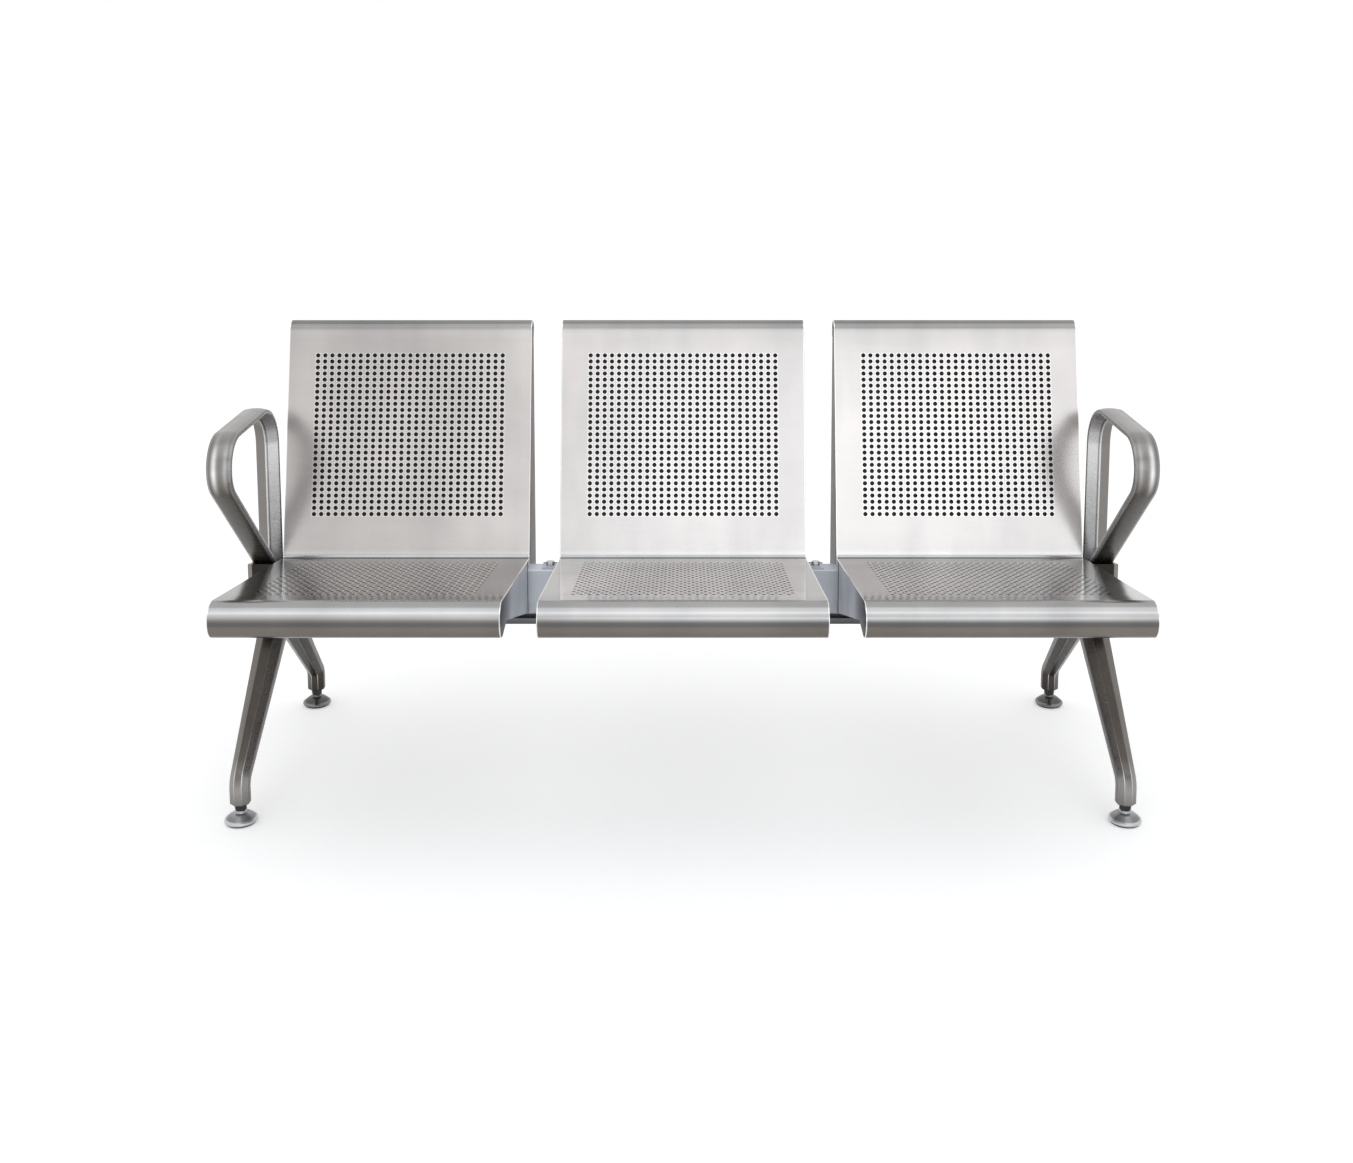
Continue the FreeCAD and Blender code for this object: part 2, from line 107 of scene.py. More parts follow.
def gridFaces(rows, columns, closeRows=False, closeColumns=False):
    # quads between neighbouring points of a rows x columns grid
    row = np.arange(rows if closeRows else rows - 1)
    column = np.arange(columns if closeColumns else columns - 1)
    r, c = np.meshgrid(row, column, indexing="ij")
    rNext, cNext = (r + 1) % rows, (c + 1) % columns
    quads = [r * columns + c, r * columns + cNext, rNext * columns + cNext, rNext * columns + c]
    return np.stack(quads, -1).reshape(-1, 4)


def tubeMesh(rings, smoothAngle):
    # rings is (stations, around, 3): each ring joins the next, and both ends are closed by a fan
    stations, around, _ = rings.shape
    points = rings.reshape(-1, 3)
    centres = rings[[0, -1]].mean(axis=1)
    count, lastRing = len(points), (stations - 1) * around
    k = np.arange(around)
    kNext = (k + 1) % around
    startFan = np.stack([np.full(around, count), kNext, k], -1)
    endFan = np.stack([np.full(around, count + 1), lastRing + k, lastRing + kNext], -1)
    faces = [gridFaces(stations, around, closeColumns=True), startFan, endFan]
    return outwards(buildMesh(np.concatenate([points, centres]), faces, smoothAngle))


def outwards(mesh):
    work = bmesh.new()
    work.from_mesh(mesh)
    bmesh.ops.recalc_face_normals(work, faces=work.faces)
    work.to_mesh(mesh)
    work.free()
    return mesh


def sidePath(start, heading, moves, arcSteps):
    # A path in the side plane: (0, length) goes straight, (radius, turn) bends, left turns positive.
    # Gives rows of y, z, heading and distance, with no doubled rows.
    y, z, angle, distance = start[0], start[1], math.radians(heading), 0.0
    rows = [np.array([[y, z, angle, 0.0]])]
    for radius, amount in moves:
        if radius == 0:
            steps = np.array([[y + amount * math.cos(angle), z + amount * math.sin(angle), angle,
                               distance + amount]])
        else:
            turn = math.radians(amount)
            side = math.copysign(1.0, turn)
            share = np.arange(1, arcSteps + 1) / arcSteps
            angles = angle + turn * share
            centre = (y - side * radius * math.sin(angle), z + side * radius * math.cos(angle))
            steps = np.stack([centre[0] + side * radius * np.sin(angles),
                              centre[1] - side * radius * np.cos(angles),
                              angles, distance + radius * abs(turn) * share], -1)
        rows.append(steps)
        y, z, angle, distance = steps[-1]
    return np.concatenate(rows)


def direction(degrees):
    return np.array([math.cos(math.radians(degrees)), math.sin(math.radians(degrees))])


def cornerPath(corners, radii, arcSteps):
    # The path through corners in the side plane, each inner corner rounded
    corners = np.array(corners, float)
    runs = np.diff(corners, axis=0)
    headings = np.degrees(np.arctan2(runs[:, 1], runs[:, 0]))
    lengths = np.hypot(*runs.T)
    turns = (np.diff(headings) + 180.0) % 360.0 - 180.0
    cuts = np.array([0.0, *(r * math.tan(math.radians(abs(t)) / 2) for r, t in zip(radii, turns)), 0.0])
    straights = [(0, run) for run in lengths - cuts[:-1] - cuts[1:]]
    moves = [move for both in zip(straights, zip(radii, turns)) for move in both] + straights[-1:]
    return sidePath(corners[0], headings[0], moves, arcSteps)


def roundedOutline(corners, radii, steps):
    # A closed outline in the plane with each corner rounded, as (n, 2)
    corners = np.array(corners, float)
    before = corners - np.roll(corners, 1, axis=0)
    before /= np.hypot(*before.T)[:, None]
    after = np.roll(before, -1, axis=0)
    turn = np.arctan2(before[:, 0] * after[:, 1] - before[:, 1] * after[:, 0], (before * after).sum(1))
    reach = np.array(radii) * np.tan(np.abs(turn) / 2)
    share = np.linspace(0.0, 1.0, steps)[None, :, None]
    start = (corners - before * reach[:, None])[:, None, :]
    end = (corners + after * reach[:, None])[:, None, :]
    # a quadratic curve from start to end, close to an arc at these small turns
    curve = start * (1 - share) ** 2 + 2 * corners[:, None, :] * share * (1 - share) + end * share ** 2
    return curve.reshape(-1, 2)


def circleAngles(count):
    return np.arange(count) * 2 * math.pi / count


def roundAxis(centre, radius, angle, z):
    # points round the vertical axis at centre, for numbers or for arrays that fit together
    x, y = centre[0] + radius * np.cos(angle), centre[1] + radius * np.sin(angle)
    return np.stack([x, y, np.broadcast_to(z, x.shape)], -1)


def ringMesh(rings, smoothAngle):
    # rings is (rows, around, 3), and the last row joins the first one
    faces = gridFaces(*rings.shape[:2], closeRows=True, closeColumns=True)
    return outwards(buildMesh(rings.reshape(-1, 3), [faces], smoothAngle))


def lathe(profile, centre, around, smoothAngle):
    # profile is a closed outline of (radius, z), carried round a vertical axis at centre
    radius, z = np.array(profile, float).T
    return ringMesh(roundAxis(centre, radius, circleAngles(around)[:, None], z), smoothAngle)


# ---- materials

white = (1.0, 1.0, 1.0, 1.0)


def newMaterial(name):
    material = bpy.data.materials.new(name)
    material.use_nodes = True
    tree = material.node_tree
    return material, tree, tree.nodes["Principled BSDF"]


def setInputs(tree, node, inputs):
    # each value is a socket, which is linked, or a constant
    for key, value in inputs.items():
        if isinstance(value, bpy.types.NodeSocket):
            tree.links.new(value, node.inputs[key])
        else:
            node.inputs[key].default_value = value


def addNode(tree, kind, inputs=None, **settings):
    node = tree.nodes.new(kind)
    for key, value in settings.items():
        setattr(node, key, value)
    setInputs(tree, node, inputs or {})
    return node


def splitAxes(tree, vector):
    return addNode(tree, "ShaderNodeSeparateXYZ", {"Vector": vector}).outputs


def ownPlace(tree):
    # the piece's own coordinates, which are the bench's real ones in metres
    return addNode(tree, "ShaderNodeTexCoord").outputs["Object"]


def noiseOn(tree, scale, detail, stretch=(1.0, 1.0, 1.0), roughness=0.5):
    # noise on the piece's own coordinates, stretched along an axis by a small scale
    place = addNode(tree, "ShaderNodeMapping", {"Vector": ownPlace(tree), "Scale": stretch}).outputs["Vector"]
    noise = {"Vector": place, "Scale": scale, "Detail": detail, "Roughness": roughness}
    return addNode(tree, "ShaderNodeTexNoise", noise).outputs["Fac"]


def grey(level):
    return (level, level, level)


def ramp(tree, source, stops):
    node = addNode(tree, "ShaderNodeValToRGB", {"Fac": source})
    elements = node.color_ramp.elements
    while len(elements) < len(stops):
        elements.new(0.5)
    for element, (position, colour) in zip(elements, stops):
        element.position = position
        element.color = (*colour, 1.0)
    return node.outputs["Color"]


def mapRange(tree, source, low, high, fromLow=0.3, fromHigh=0.7):
    spans = {"Value": source, "From Min": fromLow, "From Max": fromHigh, "To Min": low, "To Max": high}
    return addNode(tree, "ShaderNodeMapRange", spans).outputs["Result"]


def rise(tree, source, start, end):
    # 0 up to start, 1 from end on
    return mapRange(tree, source, 0.0, 1.0, start, end)


def fall(tree, source, start, end):
    return mapRange(tree, source, 1.0, 0.0, start, end)


def calculate(tree, operation, *sources):
    return addNode(tree, "ShaderNodeMath", dict(enumerate(sources)), operation=operation).outputs[0]


def mixColours(tree, factor, first, second, blend="MIX"):
    sockets = {0: factor, 6: first, 7: second}
    return addNode(tree, "ShaderNodeMix", sockets, data_type="RGBA", blend_type=blend).outputs[2]


def multiplied(tree, first, second):
    return mixColours(tree, 1.0, first, second, "MULTIPLY")


def greyed(tree, tone, source, stops):
    # the tone times a grey that follows the source
    return multiplied(tree, tone, ramp(tree, source, [(place, grey(level)) for place, level in stops]))


def dimmed(tree, tone, source, low):
    return greyed(tree, tone, source, [(0.3, low), (0.7, 1.0)])


def bumpOn(tree, height, strength, depth):
    bump = {"Height": height, "Strength": strength, "Distance": depth}
    return addNode(tree, "ShaderNodeBump", bump).outputs["Normal"]


def greyOver(material, axis, start, end, stops):
    # multiplies the material's base colour by a grey that changes along one axis of the piece
    tree = material.node_tree
    shader = tree.nodes["Principled BSDF"]
    tone = shader.inputs["Base Color"].links[0].from_socket
    place = splitAxes(tree, ownPlace(tree))[axis]
    tone = greyed(tree, tone, rise(tree, place, start, end), stops)
    tree.links.new(tone, shader.inputs["Base Color"])
    return shader


hubLook = {
    # light and dark tone, painted shade where it faces the floor, roughness, stretch of the grain, bump
    "light": (0.20, 0.19, 0.175), "dark": (0.14, 0.135, 0.125), "under": (0.08, 0.075, 0.07),
    "roughness": (0.20, 0.30), "grain": (2.0, 0.6, 0.6), "bump": 0.04,
}
zincLook = {
    "light": (0.66, 0.66, 0.68), "dark": (0.54, 0.54, 0.56), "under": (0.2, 0.2, 0.2),
    "roughness": (0.24, 0.36), "grain": (1.0, 1.0, 4.0), "bump": 0.05,
}


def brushedMetal(name, look):
    material, tree, shader = newMaterial(name)
    grain = noiseOn(tree, 60.0, 4.0, look["grain"], 0.6)
    tone = ramp(tree, noiseOn(tree, 5.0, 3.0), [(0.35, look["dark"]), (0.65, look["light"])])
    tone = dimmed(tree, tone, grain, 0.88)
    # painted shade on faces that look at the floor: 0 where the surface looks up or level, 1 where it looks
    # at the floor
    normal = splitAxes(tree, addNode(tree, "ShaderNodeNewGeometry").outputs["Normal"])
    tone = mixColours(tree, fall(tree, normal["Z"], -0.75, -0.02), tone, (*look["under"], 1.0))
    setInputs(tree, shader, {"Base Color": tone, "Roughness": mapRange(tree, grain, *look["roughness"]),
                             "Metallic": 1.0, "Normal": bumpOn(tree, grain, look["bump"], 0.0004)})
    return material


sheetLook = {
    # distance along the seat line in metres, and the sheet's red, green and blue there, which carry painted
    # highlights and shade on the rolls, the crease and the faces
    "tones": [
        (0.0, 0.34, 0.33, 0.32), (0.038, 0.3, 0.29, 0.28), (0.044, 0.1, 0.095, 0.09),
        (0.049, 0.28, 0.275, 0.27), (0.065, 0.27, 0.265, 0.26), (0.07, 0.6, 0.585, 0.575),
        (0.077, 0.64, 0.615, 0.6), (0.09, 0.62, 0.59, 0.575), (0.475, 0.66, 0.63, 0.615),
        (0.4815, 0.76, 0.75, 0.74), (0.4842, 0.62, 0.615, 0.61), (0.4855, 0.36, 0.355, 0.35),
        (0.4885, 0.38, 0.375, 0.37), (0.492, 0.75, 0.743, 0.737), (0.8765, 0.96, 0.955, 0.95),
        (0.879, 0.32, 0.315, 0.31), (0.887, 0.4, 0.395, 0.39), (0.905, 0.44, 0.435, 0.435),
        (0.9105, 0.64, 0.635, 0.635), (0.9142, 0.66, 0.655, 0.655), (0.9172, 0.48, 0.475, 0.475),
        (0.9205, 0.27, 0.265, 0.26), (0.9243, 0.15, 0.145, 0.14), (0.9272, 0.095, 0.09, 0.085),
        (0.931, 0.17, 0.155, 0.145), (0.935, 0.2, 0.18, 0.165), (0.945, 0.19, 0.165, 0.145),
        (0.953, 0.13, 0.11, 0.095), (0.96, 0.07, 0.06, 0.05), (0.964, 0.03, 0.025, 0.02),
        (0.972, 0.06, 0.055, 0.05), (1.025, 0.25, 0.24, 0.23),
    ],
    "length": 1.025, "panFrom": 0.4885, "panTo": 0.879,
    # where the painted highlight along the side edges begins, across from the middle, and its tone
    "edgeFrom": 0.2236, "edgeTone": (0.86, 0.85, 0.84),
    "roughness": (0.17, 0.24), "panWear": 0.7, "metallic": 0.9,
    # painted highlight round the holes' rims, and painted shade on the holes' walls
    "rimLight": 0.6, "rimTone": (0.92, 0.91, 0.90), "inHole": (0.02, 0.019, 0.018),
    # painted shade of each pan from left to right across the bench
    "benchHalf": 0.75,
    "pans": [(0.31, (0.335, 0.326, 0.32)), (0.345, grey(1.0)), (0.655, grey(1.0)), (0.69, grey(0.65))],
    # painted reflection: the middle pan is darker along its sides, in a wedge that widens to the front
    "wedgeWidth": 0.034, "wedgeTone": (0.34, 0.333, 0.318), "middleHalf": 0.27,
}


def sheetSteel(name, look):
    # satin sheet with painted highlights and shade along the seat line, and a painted highlight along both
    # side edges
    material, tree, shader = newMaterial(name)
    seatMap = splitAxes(tree, addNode(tree, "ShaderNodeUVMap", uv_map="seatMap").outputs["UV"])
    across, along = calculate(tree, "ABSOLUTE", seatMap["X"]), seatMap["Y"]
    x = splitAxes(tree, ownPlace(tree))["X"]
    cloud = noiseOn(tree, 4.0, 3.0)
    grain = noiseOn(tree, 40.0, 4.0, (0.25, 3.0, 3.0), 0.6)
    bands = noiseOn(tree, 7.0, 3.0, (1.0, 1.0, 0.22), 0.55)
    length, edge = look["length"], look["edgeFrom"]
    tones = [(distance / length, colour) for distance, *colour in look["tones"]]
    tone = ramp(tree, rise(tree, along, 0.0, length), tones)
    tone = greyed(tree, tone, cloud, [(0.32, 0.86), (0.62, 1.0)])
    tone = multiplied(tree, tone, ramp(tree, bands, [(0.36, (0.86, 0.86, 0.87)), (0.6, grey(1.0))]))

    start, end = look["panFrom"], look["panTo"]
    onPan = calculate(tree, "MULTIPLY", rise(tree, along, start, start + 0.003),
                      fall(tree, along, end - 0.003, end + 0.001))
    # painted shade that differs from pan to pan
    panShade = ramp(tree, rise(tree, x, -look["benchHalf"], look["benchHalf"]), look["pans"])
    tone = multiplied(tree, tone, mixColours(tree, onPan, white, panShade))
    # painted reflection that darkens the middle pan along its sides
    reach = calculate(tree, "ADD", across, mapRange(tree, along, 0.0, look["wedgeWidth"], start, end))
    aside = calculate(tree, "ABSOLUTE", x)
    inWedge = calculate(tree, "MULTIPLY", rise(tree, reach, edge - 0.001, edge + 0.002),
                        fall(tree, aside, look["middleHalf"], look["middleHalf"] + 0.01))
    inWedge = calculate(tree, "MULTIPLY", inWedge, onPan)
    tone = multiplied(tree, tone, mixColours(tree, inWedge, white, (*look["wedgeTone"], 1.0)))

    tone = dimmed(tree, tone, grain, 0.975)
    # painted highlight round the holes, painted shade on their walls and a painted highlight along the side
    # edges
    rim = addNode(tree, "ShaderNodeAttribute", attribute_name="rim").outputs["Fac"]
    lit = mapRange(tree, rim, 0.0, look["rimLight"], 0.3, 1.0)
    for factor, colour in ((lit, look["rimTone"]), (fall(tree, rim, -0.9, -0.1), look["inHole"]),
                           (rise(tree, across, edge - 0.0006, edge + 0.0002), look["edgeTone"])):
        tone = mixColours(tree, factor, tone, (*colour, 1.0))
    # the pans are worn smoother than the backs
    wear = mapRange(tree, onPan, 1.0, look["panWear"], 0.0, 1.0)
    roughness = calculate(tree, "MULTIPLY", mapRange(tree, cloud, *look["roughness"]), wear)
    setInputs(tree, shader, {"Base Color": tone, "Roughness": roughness, "Metallic": look["metallic"],
                             "Normal": bumpOn(tree, grain, 0.03, 0.0003)})
    return material


# colours for the painted light and shade in the shade attribute, warmer where it is dark
shadeTints = [(0.0, grey(0.0)), (0.07, (0.078, 0.066, 0.056)), (0.2, (0.21, 0.195, 0.18)),
              (0.5, (0.50, 0.495, 0.50)), (1.0, grey(1.0))]


def shadedMetal(name, roughness, grainStretch):
    # metal whose tone is the painted light and shade in the piece's own shade attribute, warmer where it is
    # dark
    material, tree, shader = newMaterial(name)
    shade = addNode(tree, "ShaderNodeAttribute", attribute_name="shade").outputs["Fac"]
    grain = noiseOn(tree, 70.0, 4.0, grainStretch, 0.6)
    tone = dimmed(tree, ramp(tree, shade, shadeTints), grain, 0.97)
    tone = dimmed(tree, tone, noiseOn(tree, 14.0, 3.0), 0.88)
    setInputs(tree, shader, {"Base Color": tone, "Roughness": mapRange(tree, grain, *roughness),
                             "Metallic": 0.72, "Normal": bumpOn(tree, grain, 0.02, 0.0002)})
    return material


def paintedMetal(name, colour, speckle, roughness):
    # satin coat with a fine flake and a faint unevenness
    material, tree, shader = newMaterial(name)
    fleck = noiseOn(tree, 900.0, 2.0)
    cloud = noiseOn(tree, 7.0, 3.0)
    dark = [c * (1.0 - speckle) for c in colour]
    light = [min(1.0, c * (1.0 + speckle)) for c in colour]
    tone = dimmed(tree, ramp(tree, fleck, [(0.35, dark), (0.65, light)]), cloud, 0.93)
    setInputs(tree, shader, {"Base Color": tone, "Normal": bumpOn(tree, fleck, 0.05, 0.0003),
                             "Roughness": mapRange(tree, cloud, roughness, roughness + 0.1)})
    return material


beamLook = {
    "colour": (0.72, 0.75, 0.81), "speckle": 0.05, "roughness": 0.36, "metallic": 0.3,
    "bottom": 0.292, "top": 0.394,
    # share of the height, and how light it is there: painted shade on the lip and in the groove, the face
    # darker towards the bottom, and a painted highlight on the top edge
    "fade": [(0.0, 0.10), (0.10, 0.22), (0.125, 0.04), (0.19, 0.04), (0.22, 0.62), (0.5, 0.86), (0.96, 0.92),
             (1.0, 1.0)],
    # painted shade: the beam is a little darker to one end
    "across": 0.30, "sides": [(0.0, 1.0), (1.0, 0.78)],     # it is a little darker to one end
}


def beamPaint(name, look):
    # silver paint with a painted highlight along the top and painted shade in the groove and on the lip below
    material = paintedMetal(name, look["colour"], look["speckle"], look["roughness"])
    greyOver(material, "Z", look["bottom"], look["top"], look["fade"])
    shader = greyOver(material, "X", -look["across"], look["across"], look["sides"])
    shader.inputs["Metallic"].default_value = look["metallic"]
    return material


def tonedMetal(name, axis, look):
    # satin metal with painted light and shade that change along one axis, the same on both sides of the
    # middle
    material, tree, shader = newMaterial(name)
    source = splitAxes(tree, ownPlace(tree))[axis]
    if axis == "X":
        source = calculate(tree, "ABSOLUTE", source)
    cloud = noiseOn(tree, 30.0, 3.0)
    tone = dimmed(tree, ramp(tree, rise(tree, source, *look["span"]), look["tones"]), cloud, 0.86)
    setInputs(tree, shader, {"Base Color": tone, "Roughness": mapRange(tree, cloud, 0.26, 0.36),
                             "Metallic": 0.85})
    return material


blockLook = {
    # distance from the middle of the bench: painted shade behind the seat, lighter on the outer face
    "span": (0.7750, 0.7765), "tones": [(0.0, (0.028, 0.024, 0.020)), (1.0, (0.24, 0.23, 0.21))],
}
discLook = {
    # painted shade: the rear discs are darker than the front ones
    "span": (-0.1, 0.3), "tones": [(0.0, (0.62, 0.62, 0.64)), (1.0, (0.26, 0.255, 0.25))],
    "bottom": 0.003, "top": 0.024,
    # share of the height, and how light it is there: rim, foot of the dome, dome and neck, with a painted
    # highlight on the rim and painted shade on the dome
    "rings": [(0.0, 0.85), (0.27, 1.0), (0.35, 0.38), (0.55, 0.42), (0.75, 0.62), (1.0, 0.80)],
}
plateLook = {
    # painted light and shade along the plate: dark to the nose, olive-grey behind the back, lighter by the
    # beam, and a dark band of painted shade where it meets the beam
    "noseY": -0.36, "rearY": 0.05, "behind": (0.038, 0.046), "behindTone": (0.19, 0.18, 0.16),
    "nose": (0.05, 0.05, 0.06), "bend": (0.27, 0.275, 0.30), "middle": (0.60, 0.62, 0.67),
    "byBeam": (0.66, 0.685, 0.73), "seamShade": (0.05, 0.05, 0.055),      # the seam is where it meets the beam
    "roughness": (0.45, 0.55), "metallic": 0.35, "specular": 0.25,
}


def plateSteel(name, look):
    # side plates with painted light and shade: blue-grey under the pan and darker to the nose, olive-grey
    # behind the back
    material, tree, shader = newMaterial(name)
    y = splitAxes(tree, ownPlace(tree))["Y"]
    beamFace = (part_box("beam")[0][1] - look["noseY"]) / (look["rearY"] - look["noseY"])
    stops = [(0.0, look["nose"]), (0.17, look["bend"]), (0.32, look["middle"]),
             (beamFace - 0.034, look["byBeam"]), (beamFace - 0.027, look["seamShade"]), (beamFace, look["seamShade"]),
             (beamFace + 0.005, look["middle"])]
    tone = ramp(tree, rise(tree, y, look["noseY"], look["rearY"]), stops)
    tone = mixColours(tree, rise(tree, y, *look["behind"]), tone, (*look["behindTone"], 1.0))
    cloud = noiseOn(tree, 18.0, 4.0, roughness=0.6)
    setInputs(tree, shader, {"Base Color": dimmed(tree, tone, cloud, 0.82), "Metallic": look["metallic"],
                             "Roughness": mapRange(tree, cloud, *look["roughness"]),
                             "Specular IOR Level": look["specular"]})
    return material


hubMetal = brushedMetal("hubMetal", hubLook)
zincSteel = brushedMetal("zincSteel", zincLook)
sheetMetal = sheetSteel("seatSheet", sheetLook)
armMetal = shadedMetal("armMetal", (0.24, 0.34), (0.6, 0.6, 2.5))
legShaded = shadedMetal("legShaded", (0.24, 0.36), (2.5, 0.8, 0.8))
plateMetal = plateSteel("sidePlate", plateLook)
blockMetal = tonedMetal("blockMetal", "X", blockLook)
# painted highlight on the rim under a dome in painted shade
discMetal = tonedMetal("discMetal", "Y", discLook)
greyOver(discMetal, "Z", discLook["bottom"], discLook["top"], discLook["rings"])
silverPaint = beamPaint("silverPaint", beamLook)
blackSteel = paintedMetal("blackSteel", grey(0.008), 0.2, 0.5)
padRubber = paintedMetal("padRubber", grey(0.035), 0.15, 0.7)
print("materials made")

# ---- seat shells: one bent sheet each, with round holes in pan and back

seatShape = {
    "crease": (0.0415, 0.407), "creaseRadius": 0.006,
    "panRake": 7.4, "panLength": 0.3915,
    "frontRadius": 0.029, "returnRise": 8.0, "returnLength": 0.048,
    "backLean": 13.0, "backLength": 0.420,
    "topRadius": 0.018, "topReturn": 0.012,
    "sheet": 0.0015, "edgeRound": 0.0005, "sideMargin": 0.018,
    "rollSteps": 28,
}
holeField = {
    "columns": 27, "rows": 27,
    "pitchX": 0.01315, "pitchAlong": 0.0112,
    "backRadius": 0.0041, "panRadius": 0.0030, "sides": 12,
    "panFromCrease": 0.0555,      # crease to the middle of the nearest row, down the pan
    "backFromCrease": 0.0790,     # the same up the back
    "panShift": 0.25,             # of a pitch, to one side and the other in turn
}


def seatStations():
    # The seat line from the top return to the front return, with extra rows where the holes are.
    s, field = seatShape, holeField
    up = 90.0 - s["backLean"]
    pan = 180.0 - s["panRake"]
    creaseTurn = pan - up - 180.0
    tangent = s["creaseRadius"] * math.tan(math.radians(abs(creaseTurn)) / 2)
    upward = direction(up)
    backward = np.array([upward[1], -upward[0]])
    start = s["crease"] + upward * (s["backLength"] - s["topReturn"]) + backward * 2 * s["topRadius"]
    rows, pitch, steps = field["rows"], field["pitchAlong"], s["rollSteps"]
    toBack = field["backFromCrease"] - tangent - pitch / 2
    toPan = field["panFromCrease"] - tangent - pitch / 2
    backRuns = [s["backLength"] - tangent - toBack - rows * pitch] + [pitch] * rows + [toBack]
    panRuns = [toPan] + [pitch] * rows + [s["panLength"] - tangent - toPan - rows * pitch]
    moves = [(0, s["topReturn"]), (s["topRadius"], 180.0), *((0, run) for run in backRuns),
             (s["creaseRadius"], creaseTurn), *((0, run) for run in panRuns),
             (s["frontRadius"], 360.0 + s["returnRise"] - pan), (0, s["returnLength"])]
    firstBack = steps + 2
    return sidePath(start, up, moves, steps), firstBack, firstBack + rows + steps + 2


def sheetPoints(path, x, distance, depth):
    # The point at x and at a distance along the path, sunk into the sheet by depth
    columns = (path[:, 0], path[:, 1], -np.sin(path[:, 2]), np.cos(path[:, 2]))
    y, z, normalY, normalZ = (np.interp(distance, path[:, 3], column) for column in columns)
    return np.stack([x, y + depth * normalY, z + depth * normalZ], -1)


def seatShellMesh(low, high):
    path, firstBack, firstPan = seatStations()
    field, inset, margin = holeField, seatShape["edgeRound"], seatShape["sideMargin"]
    middle = (low + high) / 2
    cellEdges = middle + (np.arange(field["columns"] + 1) - field["columns"] / 2) * field["pitchX"]
    xLines = np.concatenate([[low + inset, low + margin], cellEdges, [high - margin, high - inset]])
    along = path[:, 3].copy()
    along[0] += inset
    along[-1] -= inset
    rows, columns = len(along), len(xLines)
    aGrid, xGrid = [grid.ravel() for grid in np.meshgrid(along, xLines, indexing="ij")]

    # holes: a ring on each side of the sheet in every cell of the two fields
    rowIndex = np.add.outer([firstBack, firstPan], np.arange(field["rows"]))
    columnIndex = 2 + np.arange(field["columns"])
    cellRow, cellColumn = [a.ravel() for a in np.meshgrid(rowIndex, columnIndex, indexing="ij")]
    onPan = cellRow >= firstPan
    stagger = np.where(onPan, field["panShift"] * field["pitchX"] * (1 - 2 * (cellRow % 2)), 0.0)
    centreX = (xLines[cellColumn] + xLines[cellColumn + 1]) / 2 + stagger
    centreA = (path[cellRow, 3] + path[cellRow + 1, 3]) / 2
    radius = np.where(onPan, field["panRadius"], field["backRadius"])[:, None]
    sides = field["sides"]
    angle = circleAngles(sides)
    ringX = (centreX[:, None] + radius * np.cos(angle)).ravel()
    ringA = (centreA[:, None] + radius * np.sin(angle)).ravel()

    # rim: the sheet's edge bulges by the inset half way through its thickness
    gridIndex = np.arange(rows * columns).reshape(rows, columns)
    border = np.concatenate([gridIndex[0, :-1], gridIndex[:-1, -1], gridIndex[-1, :0:-1],
                             gridIndex[:0:-1, 0]])
    borderRow, borderColumn = np.divmod(border, columns)
    borderX = np.concatenate([[low], xLines[1:-1], [high]])[borderColumn]
    borderA = path[borderRow, 3]

    # order of the points: face, underside, rings of the face, rings of the underside, rim
    x = np.concatenate([xGrid, xGrid, ringX, ringX, borderX])
    a = np.concatenate([aGrid, aGrid, ringA, ringA, borderA])
    groups = [len(xGrid), len(xGrid), len(ringX), len(ringX), len(borderX)]
    points = sheetPoints(path, x, a, seatShape["sheet"] * np.repeat([0.0, 1.0, 0.0, 1.0, 0.5], groups))
    underStart, ringStart, ringUnderStart, rimStart = np.cumsum(groups)[:-1]

    ring = ringStart + np.arange(len(ringX)).reshape(-1, sides)
    corner00 = cellRow * columns + cellColumn
    corners = [corner00 + columns + 1, corner00 + columns, corner00, corner00 + 1]
    quarter = sides // 4
    fans = [(ring[:, k], corners[k // quarter], ring[:, (k + 1) % sides]) for k in range(sides)]
    fans += [(ring[:, k * quarter], corners[k - 1], corners[k]) for k in range(4)]
    faceTriangles = np.concatenate([np.stack(fan, -1) for fan in fans])

    def toUnder(indices):
        moved = np.where(indices < underStart, indices + underStart, indices + len(ringX))
        return moved[:, ::-1]

    plain = np.ones((rows - 1, columns - 1), bool)
    plain[cellRow, cellColumn] = False
    faceQuads = gridFaces(rows, columns)[plain.ravel()]
    wall = np.stack([ring, np.roll(ring, -1, axis=1)], -1).reshape(-1, 2)
    wallQuads = np.concatenate([wall, wall[:, ::-1] + len(ringX)], axis=1)
    rim = rimStart + np.arange(len(border))
    rimNext, borderNext = np.roll(rim, -1), np.roll(border, -1)
    rimFace = np.stack([border, rim, rimNext, borderNext], -1)
    rimUnder = np.stack([border + underStart, borderNext + underStart, rimNext, rim], -1)
    mesh = buildMesh(points, [faceQuads, toUnder(faceQuads), faceTriangles, toUnder(faceTriangles),
                              wallQuads, rimFace, rimUnder], 40.0)
    # the seat's own map: u across from the middle, v along the seat line, in metres
    loopVertex = np.empty(len(mesh.loops), dtype=np.int32)
    mesh.loops.foreach_get("vertex_index", loopVertex)
    layer = mesh.uv_layers.new(name="seatMap")
    layer.data.foreach_set("uv", np.stack([x - middle, a], -1)[loopVertex].astype(np.float32).ravel())
    # 1 where the face meets a hole, -1 on the holes' walls and 0 elsewhere: the places of the painted
    # highlight round each hole and the painted shade inside it
    rims = ((loopVertex >= ringStart) & (loopVertex < ringUnderStart)).astype(np.float32)
    wallStart = 2 * (faceQuads.size + faceTriangles.size)
    rims[wallStart:wallStart + wallQuads.size] = -1.0
    mesh.attributes.new("rim", "FLOAT", "CORNER").data.foreach_set("value", rims)
    return outwards(mesh)


